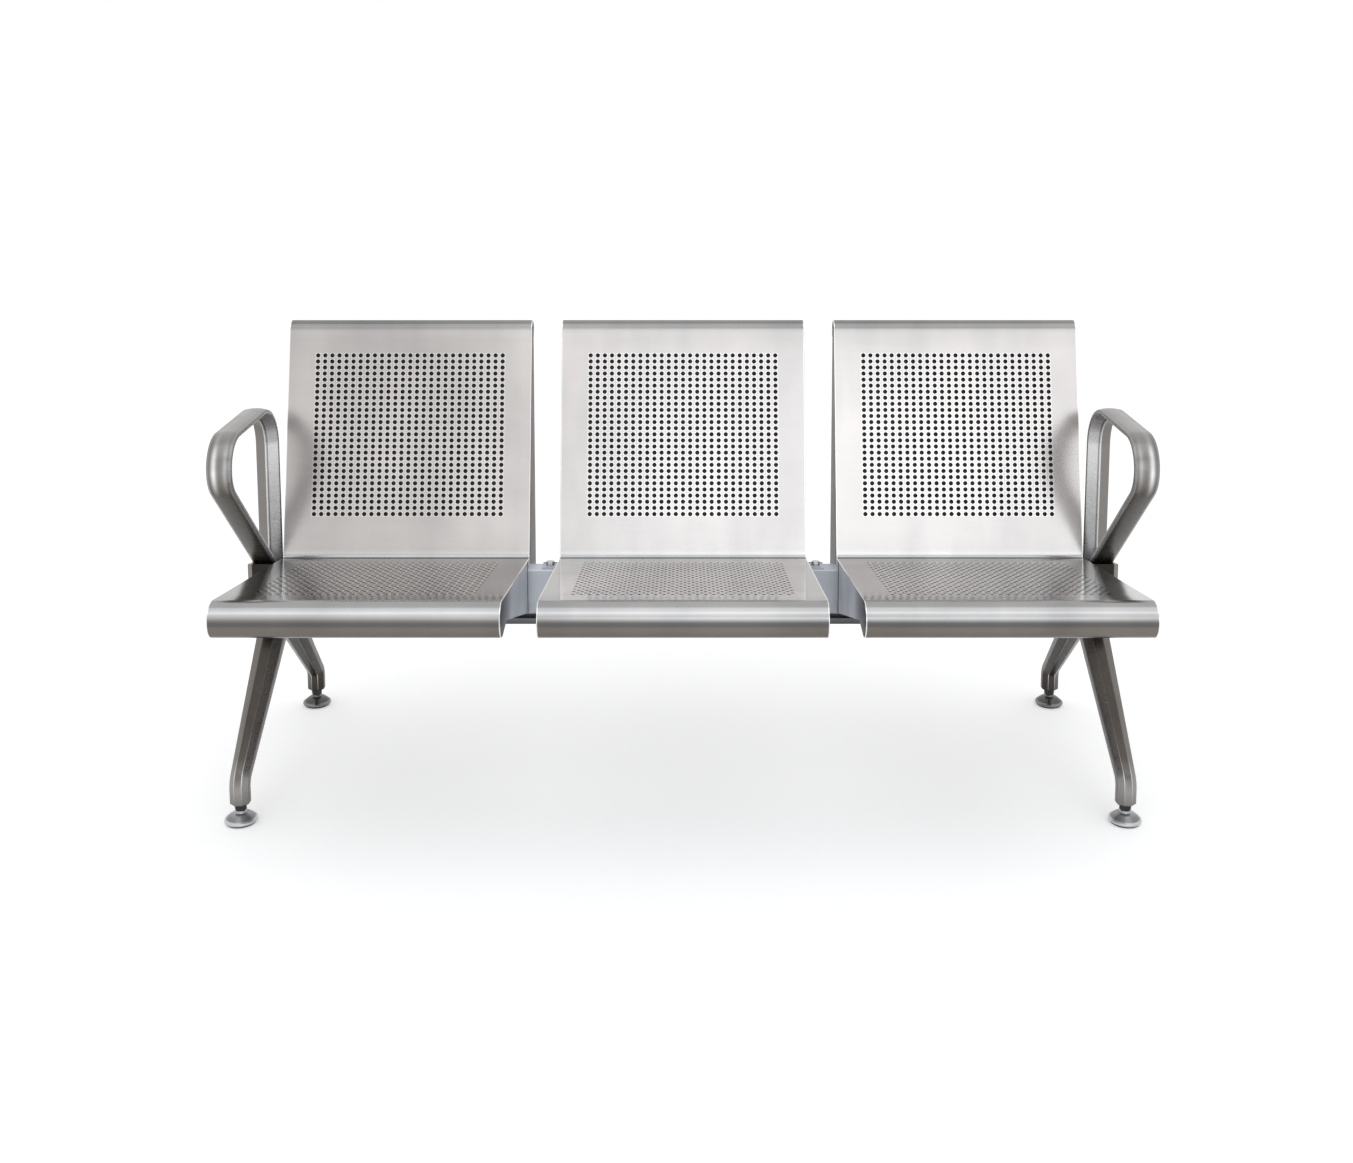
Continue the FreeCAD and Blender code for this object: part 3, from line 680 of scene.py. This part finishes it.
for seat in seats:
    shellName = seat + "_seat_shell"
    low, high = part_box(shellName)
    addPiece(seat + "_sheet", seatShellMesh(low[0], high[0]), sheetMetal, bench,
             [shellName])
print("seat sheets made")

# ---- armrests: a bar with a crowned outside and a ridge inside, bent round a loop

armShape = {
    "width": 0.042, "edge": 0.0095, "ridge": 0.020, "crown": 0.0035,
    "edgeRound": 0.0026, "ridgeRound": 0.0014,
    "foot": (0.0075, 0.413), "diagonal": 40.4,
    "frontRadius": 0.060, "rearRadius": 0.080,
    "top": (0.0015, 0.692), "topSlope": 3.3, "postY": 0.0785,
    "blockFrontZ": 0.407, "blockRear": (0.084, 0.394), "sink": 0.020,
    "bendSteps": 40, "stationStep": 0.02, "cornerPoints": 6, "crownPoints": 15,
    "flankPlaces": [0.8, 0.6, 0.4, 0.2, 0.12],      # share of half the width
}
hubShape = {
    "splitZ": 0.350, "frontY": 0.002, "frontLowZ": 0.300,
    "centre": (0.110, 0.300), "reach": 0.055, "notchZ": 0.270,
    "edgeRound": 0.0025,
    "headRadius": 0.0065, "recessRadius": 0.0068, "recessDepth": 0.009, "recessSides": 40, "cutPast": 0.01,
}
legShape = {
    "bendZ": 0.074, "bendRadius": 0.030, "endZ": 0.034,
    "topWidth": 0.052, "topThickness": 0.040, "endWidth": 0.033, "endThickness": 0.030,
    "facet": 0.30, "facetDrop": 0.28, "ridgeRound": 0.00256, "endChamfer": 0.0018,
    "bendSteps": 14, "slopeRows": 15,
}


def meetLines(place, angle, other, otherAngle):
    # where the line through place meets the one through other
    a, b, gap = direction(angle), direction(otherAngle), np.subtract(other, place)
    return place + (gap[0] * b[1] - gap[1] * b[0]) / (a[0] * b[1] - a[1] * b[0]) * a


def carrySection(path, section, middleX, width=1.0, depth=1.0):
    # section is (around, 2): x across, and depth to the right of the path; width and depth scale its rows
    across, sunk = (np.ones((len(path), 1)) * np.reshape(scale, (-1, 1)) * side
                    for scale, side in zip((width, depth), section.T))
    y, z, heading, _ = (column[:, None] for column in path.T)
    return np.stack([middleX + across, y + sunk * np.sin(heading), z - sunk * np.cos(heading)], -1)


def moreStations(path, step):
    # adds even rows on the straight runs, where distance jumps by more than the step
    rows = [path[:1]]
    for before, after in zip(path, path[1:]):
        count = max(1, math.ceil((after[3] - before[3]) / step))
        share = (np.arange(1, count + 1) / count)[:, None]
        rows.append(before * (1 - share) + after * share)
    return np.concatenate(rows)


armTones = {
    # direction the outer face looks in degrees, from the rear over the top to the lower front, and its
    # painted light and shade
    "angles": [-20.0, 20.0, 60.0, 93.0, 110.0, 130.0, 150.0, 165.0, 180.0, 195.0, 212.0, 229.0, 240.0],
    "outer": [0.26, 0.26, 0.24, 0.33, 0.30, 0.25, 0.22, 0.24, 0.23, 0.18, 0.12, 0.065, 0.055],
    "bulge": [0.0, 0.0, 0.0, 0.05, 0.10, 0.25, 0.9, 1.0, 1.2, 0.9, 0.4, 0.0, 0.0],
    "inner": [1.0, 0.75, 0.35, 0.40, 0.5, 0.6, 0.7, 0.7, 0.7, 0.6, 0.5, 0.4, 0.4],
    # painted highlights on the bulge: place across the bar, where 1 is its inner edge, width and strength
    "stripes": [(-0.36, 0.19, 0.62), (0.52, 0.16, 0.20)],
    # painted light on one flank and painted shade on the other, a dark line beside the ridge, a painted
    # highlight on the ridge, and the tone of the side edges
    "litFlank": 0.92, "darkFlank": 0.26, "flankLine": 0.24, "lineAcross": (0.02, 0.16), "ridge": 0.95,
    "sideFade": 0.5, "edges": 0.30, "lowEdges": 0.08,
    # painted light and shade: the lower front is lighter along its edges and darker between them, from this
    # direction on
    "lowFrom": 200.0, "lowOver": 25.0, "lowRise": 0.9, "lowDrop": 0.15,
    # depth where the face's tones end, and where the flanks' and the ridge's begin, from edge and ridge
    "faceDepth": 0.0025, "flankDepth": 0.0006, "ridgeDepth": -0.0009,
}


def armShade(path, section, middleX):
    # painted light and shade of every section point at every station
    a, t = armShape, armTones
    inward = -math.copysign(1.0, middleX) * section[None, :, 0] / (a["width"] / 2)
    depth = np.broadcast_to(section[None, :, 1], (len(path), len(section)))
    looks = (np.degrees(path[:, 2]) + 90.0)[:, None]
    outer, bulge, inner = (np.interp(looks, t["angles"], t[key]) for key in ("outer", "bulge", "inner"))
    face = outer * (1.0 - t["sideFade"] * np.abs(inward) ** 3)
    for place, width, strength in t["stripes"]:
        face = face + strength * bulge * np.exp(-((inward - place) / width) ** 2)
    low = np.clip((looks - t["lowFrom"]) / t["lowOver"], 0.0, 1.0)
    face = face * (1.0 + low * (t["lowRise"] * inward ** 4 - t["lowDrop"]))
    onLine = (inward > t["lineAcross"][0]) & (inward < t["lineAcross"][1])
    flank = np.where(onLine, t["flankLine"], np.where(inward > 0.0, t["litFlank"], t["darkFlank"]))
    shade = np.where(depth < t["faceDepth"], face, t["edges"] + t["lowEdges"] * low)
    shade = np.where(depth > a["edge"] + t["flankDepth"], flank * inner, shade)
    return np.where(depth > a["ridge"] + t["ridgeDepth"], t["ridge"] * inner, shade)


def shadedTube(rings, shade):
    # the centres of the two ends come last, each in the mean tone of its ring
    tones = np.concatenate([shade.ravel(), shade[[0, -1]].mean(axis=1)]).clip(0.0, 1.0)
    mesh = tubeMesh(rings, 30.0)
    mesh.attributes.new("shade", "FLOAT", "POINT").data.foreach_set("value", tones.astype(np.float32))
    return mesh


def armSection():
    # outline of the bar: x across, and depth from the outer face
    a = armShape
    half, soft, count = a["width"] / 2, a["edgeRound"], a["cornerPoints"]
    corners = [(-half, 0.0), (half, 0.0), (half, a["edge"]), (0.0, a["ridge"]), (-half, a["edge"])]
    rounded = roundedOutline(corners, [soft, soft, soft, a["ridgeRound"], soft], count)
    first, sides, ridge, last = np.split(rounded, [count, 3 * count, 4 * count])
    crownX = np.linspace(-half + 1.2 * soft, half - 1.2 * soft, a["crownPoints"])
    crown = np.stack([crownX, np.zeros_like(crownX)], -1)
    flankX = np.array(a["flankPlaces"]) * half
    right = np.stack([flankX, a["edge"] + (a["ridge"] - a["edge"]) * (1.0 - flankX / half)], -1)
    left = right[::-1] * (-1.0, 1.0)
    section = np.concatenate([first, crown, sides, right, ridge, left, last])
    outer = section[:, 1] < a["edge"] / 2
    section[outer, 1] += a["crown"] * (section[outer, 0] / half) ** 2
    return section


def armrestMesh(middleX):
    a = armShape
    diagonal = 180.0 - a["diagonal"]
    start = a["foot"] - a["sink"] * direction(diagonal)
    front = meetLines(a["foot"], diagonal, a["top"], a["topSlope"])
    rear = meetLines(a["top"], a["topSlope"], (a["postY"], 0.0), 90.0)
    end = (a["postY"], a["blockRear"][1] - a["sink"])
    path = cornerPath([start, front, rear, end], [a["frontRadius"], a["rearRadius"]], a["bendSteps"])
    path = moreStations(path, a["stationStep"])
    section = armSection()
    return shadedTube(carrySection(path, section, middleX), armShade(path, section, middleX))


def legPath(footY):
    h = np.array(hubShape["centre"])
    bend = np.array([footY, legShape["bendZ"]])
    way = (bend - h) / np.hypot(*(bend - h))
    return cornerPath([h + way * hubShape["reach"], bend, (footY, legShape["endZ"])],
                      [legShape["bendRadius"]], legShape["bendSteps"])


legTones = {
    # share of the way from the hub to the end, and the painted light and shade of the flat, bevelled and side
    # faces and of the ridges
    "share": [0.0, 0.6, 0.80, 0.87, 0.92, 1.0],
    "flat": [0.05, 0.055, 0.075, 0.16, 0.34, 0.22],
    "bevel": [0.15, 0.17, 0.20, 0.30, 0.30, 0.20],
    "side": [0.10, 0.11, 0.12, 0.14, 0.13, 0.10],
    "ridge": [0.14, 0.16, 0.30, 0.85, 0.55, 0.20],
    # painted shade on the rear legs
    "rearOutside": 0.45, "rearInside": 0.2,      # what the rear legs keep of it
}


def legShade(path, section, middleX, footY):
    # painted light and shade of every section point at every station
    t = legTones
    share = (path[:, 3] / path[-1, 3])[:, None]
    flat, bevel, side, ridge = (np.interp(share, t["share"], t[key])
                                for key in ("flat", "bevel", "side", "ridge"))
    after = np.roll(section, -1, axis=0)
    run = after - np.roll(section, 1, axis=0)
    # 1 where the section runs straight across, 0 where it runs along its depth
    level = np.abs(run[:, 0]) / np.hypot(*run.T)
    lengths = np.hypot(*(after - section).T)
    nearRidge = (lengths < 0.08) & (np.roll(lengths, 1) < 0.08)
    shade = np.where(level > 0.97, flat, np.where(level > 0.3, bevel, side))
    if footY > 0:
        outside = math.copysign(1.0, middleX) * section[:, 0] > 0.2
        shade = shade * np.where(outside, t["rearOutside"], t["rearInside"])
    return np.where(nearRidge & (level > 0.6), ridge, shade)


def legMesh(footY, middleX):
    # eight-sided section, tapering from the hub to the bend, with a chamfered lower end
    k = legShape
    path = legPath(footY)
    # more rows down the slope keep the taper even
    slopeShare = np.linspace(0.0, 1.0, k["slopeRows"], endpoint=False)
    slopeRows = path[0] + (path[1] - path[0]) * slopeShare[:, None]
    chamferStart = path[-1] + (0.0, k["endChamfer"], 0.0, 0.0)
    path = np.concatenate([slopeRows, path[1:-1], [chamferStart, path[-1]]])
    share = np.concatenate([slopeShare, np.ones(len(path) - len(slopeShare))])
    width = k["topWidth"] + (k["endWidth"] - k["topWidth"]) * share
    depth = k["topThickness"] + (k["endThickness"] - k["topThickness"]) * share
    for size in (width, depth):
        size[-1] -= 2 * k["endChamfer"]
    flat, side = 0.5 - k["facet"], 0.5 - k["facetDrop"]
    corners = [(flat, 0.5), (0.5, side), (0.5, -side), (flat, -0.5),
               (-flat, -0.5), (-0.5, -side), (-0.5, side), (-flat, 0.5)]
    section = roundedOutline(corners, [k["ridgeRound"] / k["endWidth"]] * len(corners), 4)
    rings = carrySection(path, section, middleX, width, depth)
    return shadedTube(rings, legShade(path, section, middleX, footY))


def prismMesh(outline, lowX, highX):
    # a side-plane outline carried straight across, closed by one face at each end
    count = len(outline)
    points = [(x, y, z) for x in (lowX, highX) for y, z in outline]
    faces = [range(count)[::-1], range(count, 2 * count)]
    faces += [[i, (i + 1) % count, count + (i + 1) % count, count + i] for i in range(count)]
    mesh = bpy.data.meshes.new("prism")
    mesh.from_pydata(points, [], faces)
    return outwards(mesh)


def cutAway(mesh, cutters):
    # takes the cutters out of the mesh, then forgets them
    holder = linked("holder", mesh)
    helpers = [linked("cutter", cutter) for cutter in cutters]
    for helper in helpers:
        modifier = holder.modifiers.new("cut", "BOOLEAN")
        modifier.object = helper
        modifier.operation = "DIFFERENCE"
        modifier.solver = "EXACT"
    bpy.context.view_layer.update()
    evaluated = holder.evaluated_get(bpy.context.evaluated_depsgraph_get())
    result = bpy.data.meshes.new_from_object(evaluated)
    for thing in helpers + [holder]:
        bpy.data.objects.remove(thing)
    return result


def castBlock(name, outline, across, recesses, material, replaced):
    # a block with screw recesses and soft edges
    mesh = cutAway(prismMesh(outline, *across), recesses)
    mesh.shade_smooth()
    piece = addPiece(name, mesh, material, bench, replaced)
    bevel = piece.modifiers.new("softEdges", "BEVEL")
    bevel.width = hubShape["edgeRound"]
    bevel.segments = 3
    bevel.limit_method = "ANGLE"
    bevel.angle_limit = math.radians(35.0)
    bevel.harden_normals = True


def screwRecesses(handSign, above):
    # cylinders where the frame screws sink into the outer face, above or below the split
    screwLow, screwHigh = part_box(("right" if handSign > 0 else "left") + "_frame_screws")
    hubLow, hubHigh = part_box(("right" if handSign > 0 else "left") + "_hub")
    outerX = hubHigh[0] if handSign > 0 else hubLow[0]
    reach = sorted((outerX - handSign * hubShape["recessDepth"], outerX + handSign * hubShape["cutPast"]))
    head = hubShape["headRadius"]
    z = screwHigh[2] - head if above else screwLow[2] + head
    angle = circleAngles(hubShape["recessSides"])
    circle = np.stack([np.cos(angle), np.sin(angle)], -1) * hubShape["recessRadius"]
    return [prismMesh(circle + (y, z), *reach) for y in (screwLow[1] + head, screwHigh[1] - head)]


def legTop(footY):
    # the two corners of a leg's top end, upper one first
    path = legPath(footY)
    side = 90.0 if footY > hubShape["centre"][0] else -90.0
    step = direction(math.degrees(path[0, 2]) + side) * legShape["topThickness"] / 2
    return path[0, :2] + step, path[0, :2] - step


for hand, sign in hands.items():
    hubLow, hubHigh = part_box(hand + "_hub")
    middleX = (hubLow[0] + hubHigh[0]) / 2
    legTops = []
    for end in ends:
        discLow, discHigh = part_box(end + "_" + hand + "_disc")
        footY = (discLow[1] + discHigh[1]) / 2
        legName = hand + "_" + end + "_leg"
        addPiece(legName + "_casting", legMesh(footY, middleX), legShaded, bench,
                 [legName])
        legTops += legTop(footY)
    frontUpper, frontLower, rearUpper, rearLower = legTops
    h, a = hubShape, armShape
    blockRear, splitFront = a["blockRear"], (h["frontY"], h["splitZ"])
    rearSlope = math.degrees(math.atan2(rearUpper[1] - blockRear[1], rearUpper[0] - blockRear[0]))
    splitRear = meetLines(blockRear, rearSlope, splitFront, 0.0)
    hubOutline = [splitFront, splitRear, rearUpper, rearLower, (h["centre"][0], h["notchZ"]),
                  frontLower, frontUpper, (h["frontY"], h["frontLowZ"])]
    blockOutline = [splitFront, (h["frontY"], a["blockFrontZ"]), blockRear, splitRear]
    across = (hubLow[0], hubHigh[0])
    castBlock(hand + "_hub_casting", hubOutline, across, screwRecesses(sign, False), hubMetal,
              [hand + "_hub"])
    castBlock(hand + "_armrest_block", blockOutline, across, screwRecesses(sign, True), blockMetal,
              [hand + "_armrest"])
    addPiece(hand + "_armrest_loop", armrestMesh(middleX), armMetal, bench,
             [hand + "_armrest"])
print("end frames made")

# ---- levelling feet

footShape = {
    "discRim": 0.0085, "discBottom": 0.003, "rimRound": 0.0022, "domePower": 1.45,
    "shoulderRadius": 0.0105, "shoulderZ": 0.019, "neckRadius": 0.0095, "neckRound": 0.0006,
    "seatRadius": 0.0083, "seatTop": 0.0113,            # room for the stud's collar under the dome
    "padRadius": 0.025, "padTop": 0.0055, "padRound": 0.0008, "padCentre": 0.0005, "padPlay": 0.0001,
    "padGrooves": 3, "grooveFrom": 0.004, "grooveMargin": 0.003, "grooveDepth": 0.0006,
    "studRadius": 0.006, "studPlay": 0.00006, "studPitch": 0.00175, "threadDepth": 0.0008,
    "collarRadius": 0.008, "collarHeight": 0.0052, "collarRound": 0.0002,
    "threadStart": 0.0004, "threadEnd": 0.001, "tipDrop": 0.0006, "threadSoft": 0.0001,
    "nutChamfer": 0.0014,
}


def discMesh(centre, low, high):
    f = footShape
    outer, top, soft = (high[0] - low[0]) / 2, high[2], f["neckRound"]
    bore, recess = f["studRadius"] + f["studPlay"], f["padRadius"] + f["padPlay"]
    dome = np.linspace(0.0, 1.0, 10)
    # the dome falls from the shoulder to the rim, steeper towards the rim
    domeRadius = f["shoulderRadius"] + (outer - f["rimRound"] - f["shoulderRadius"]) * dome
    domeZ = f["shoulderZ"] + (f["discRim"] - f["shoulderZ"]) * dome ** f["domePower"]
    rimAngle = np.linspace(math.pi / 2, -math.pi / 2, 9)[1:]
    rimHalf = (f["discRim"] - f["discBottom"]) / 2
    rimRadius = outer - f["rimRound"] + f["rimRound"] * np.cos(rimAngle)
    rimZ = f["discBottom"] + rimHalf + rimHalf * np.sin(rimAngle)
    profile = [(bore, top), (f["neckRadius"] - soft, top), (f["neckRadius"], top - soft),
               *zip(domeRadius, domeZ), *zip(rimRadius, rimZ),
               (recess, f["discBottom"]), (recess, f["padTop"]), (f["seatRadius"], f["padTop"]),
               (f["seatRadius"], f["seatTop"]), (bore, f["seatTop"])]
    return lathe(profile, centre, 96, 32.0)


def padMesh(centre):
    # a flat pad with a rounded rim and shallow rings on its underside
    f = footShape
    rings = np.linspace(f["grooveFrom"], f["padRadius"] - f["grooveMargin"], 4 * f["padGrooves"] + 1)
    ringZ = np.where(np.arange(len(rings)) % 4 >= 2, f["grooveDepth"], 0.0)
    profile = [(f["padCentre"], f["padTop"]), (f["padRadius"], f["padTop"]), (f["padRadius"], f["padRound"]),
               (f["padRadius"] - f["padRound"], 0.0), *zip(rings[::-1], ringZ[::-1]), (f["padCentre"], 0.0)]
    return lathe(profile, centre, 72, 25.0)


def studMesh(centre, low, high):
    # a screw thread: the radius rises and falls once a pitch, and the wave climbs with the angle
    f = footShape
    angle = circleAngles(24)
    threadLow = low[2] + f["collarHeight"]
    threadRows = np.arange(threadLow + f["threadStart"], high[2] - f["threadEnd"], f["studPitch"] / 6)
    collar = [low[2], low[2] + f["collarRound"], threadLow]
    z = np.concatenate([collar, [threadLow + f["threadSoft"]], threadRows, [high[2]]])[:, None]
    phase = (z / f["studPitch"] + angle / (2 * math.pi)) % 1.0
    radius = f["studRadius"] - f["threadDepth"] * np.abs(2 * phase - 1.0)
    radius[:len(collar)] = f["collarRadius"]
    radius[0] -= f["collarRound"]
    radius[-1] = f["studRadius"] - f["threadDepth"] - f["tipDrop"]
    return tubeMesh(roundAxis(centre, radius, angle, z), 50.0)


def nutMesh(centre, low, high):
    # hexagon radius by angle, held inside a cone at each end so that the corners are chamfered
    drop, flats = footShape["nutChamfer"], high[1] - low[1]
    half, bore = flats / 2, footShape["studRadius"] + footShape["studPlay"]
    angle = circleAngles(72)
    hexRadius = half / np.cos(angle % (math.pi / 3) - math.pi / 6)
    bottom, top = low[2], high[2]
    z = np.concatenate([np.linspace(bottom, bottom + drop, 5), np.linspace(top - drop, top, 5)])[:, None]
    fromEnd = np.minimum(z - bottom, top - z)
    limit = half + fromEnd * (flats / math.sqrt(3.0) - half) / drop
    outer = roundAxis(centre, np.minimum(hexRadius, limit), angle, z)
    inner = roundAxis(centre, np.full((2, 1), bore), angle, [[top], [bottom]])
    return ringMesh(np.concatenate([outer, inner]), 20.0)


for end in ends:
    for hand in hands:
        foot = end + "_" + hand
        low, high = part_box(foot + "_disc")
        centre = ((low[0] + high[0]) / 2, (low[1] + high[1]) / 2)
        addPiece(foot + "_dome", discMesh(centre, low, high), discMetal, foot + "_foot",
                 [foot + "_disc"])
        addPiece(foot + "_sole", padMesh(centre), padRubber, foot + "_foot", [foot + "_pad"])
        low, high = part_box(foot + "_stud")
        addPiece(foot + "_thread", studMesh(centre, low, high), zincSteel, foot + "_screw",
                 [foot + "_stud"])
        low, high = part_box(foot + "_lock_nut")
        addPiece(foot + "_nut", nutMesh(centre, low, high), blackSteel, bench,
                 [foot + "_lock_nut"])
print("feet made")

# ---- pieces kept from the frame, with a finish each

keptFinishes = {
    "satin_stainless": sheetMetal, "plate_steel": plateMetal, "silver_paint": silverPaint,
    # black_steel also goes on the seats' back covers, a dark sheet that puts painted shade behind the holes
    # of the backs
    "polished_frame": hubMetal, "zinc_steel": zincSteel, "black_steel": blackSteel,
    "rubber": padRubber,
}
for part in frame["record"]["subparts"]:
    kept = nodes[part["node"]]
    for materialSlot in kept.material_slots:
        materialSlot.material = keptFinishes[part["material_slot"]]
print("kept pieces finished")

# ---- floor, background and light

studio = {
    "floorSize": 30.0, "floorColour": 0.80, "floorRoughness": 0.9, "floorGlow": 0.30, "floorReturn": 0.88,
    "worldLight": 0.85, "lampColour": (0.90, 0.955, 1.0),
    "lamps": [
        # name, place, size, watts, where it points
        ("overhead", (0.2, -1.6, 3.6), (5.0, 2.6), 30.0, (0.0, 0.0, 0.4)),
        ("behindCamera", (0.82, -5.0, 1.55), (3.0, 2.3), 17.0, (0.3, 0.0, 0.6)),
    ],
}


def whiteWhereSeen(tree, shader, output, seenShader):
    # seenShader shows to the camera and in metal, and shader lights everything else
    path = addNode(tree, "ShaderNodeLightPath").outputs
    seen = calculate(tree, "MAXIMUM", path["Is Camera Ray"], path["Is Glossy Ray"])
    seen = calculate(tree, "MAXIMUM", seen, path["Is Transmission Ray"])
    mix = addNode(tree, "ShaderNodeMixShader", {0: seen, 1: shader, 2: seenShader})
    tree.links.new(mix.outputs[0], output)


world = bpy.data.worlds.new("studio")
scene.world = world
world.use_nodes = True
sky = world.node_tree
light = sky.nodes["Background"]
setInputs(sky, light, {"Color": white, "Strength": studio["worldLight"]})
seen = addNode(sky, "ShaderNodeBackground", {"Color": white, "Strength": 1.0})
whiteWhereSeen(sky, light.outputs[0], sky.nodes["World Output"].inputs["Surface"], seen.outputs[0])

half = studio["floorSize"] / 2
floorMesh = bpy.data.meshes.new("floor")
floorMesh.from_pydata([(-half, -half, 0), (half, -half, 0), (half, half, 0), (-half, half, 0)], [],
                      [(0, 1, 2, 3)])
material, tree, shader = newMaterial("paleFloor")
setInputs(tree, shader, {"Base Color": (*grey(studio["floorColour"]), 1.0),
                         "Roughness": studio["floorRoughness"]})
glow = addNode(tree, "ShaderNodeEmission", {"Color": white, "Strength": studio["floorGlow"]})
matt = addNode(tree, "ShaderNodeBsdfDiffuse", {"Color": (*grey(studio["floorReturn"]), 1.0)})
both = addNode(tree, "ShaderNodeAddShader", {0: glow.outputs[0], 1: matt.outputs[0]})
whiteWhereSeen(tree, shader.outputs[0], tree.nodes["Material Output"].inputs["Surface"], both.outputs[0])
floorMesh.materials.append(material)
floor = linked("floor", floorMesh)

for name, place, size, watts, aim in studio["lamps"]:
    lampData = bpy.data.lights.new(name, "AREA")
    lampData.shape = "RECTANGLE"
    lampData.size, lampData.size_y = size
    lampData.energy = watts
    lampData.color = studio["lampColour"]
    lamp = linked(name, lampData)
    x, y, z = np.array(aim) - np.array(place)
    lamp.location = place
    lamp.rotation_euler = (math.atan2(math.hypot(x, y), -z), 0.0, math.atan2(y, x) - math.pi / 2)
scene.view_settings.view_transform = "Standard"
print("studio made")
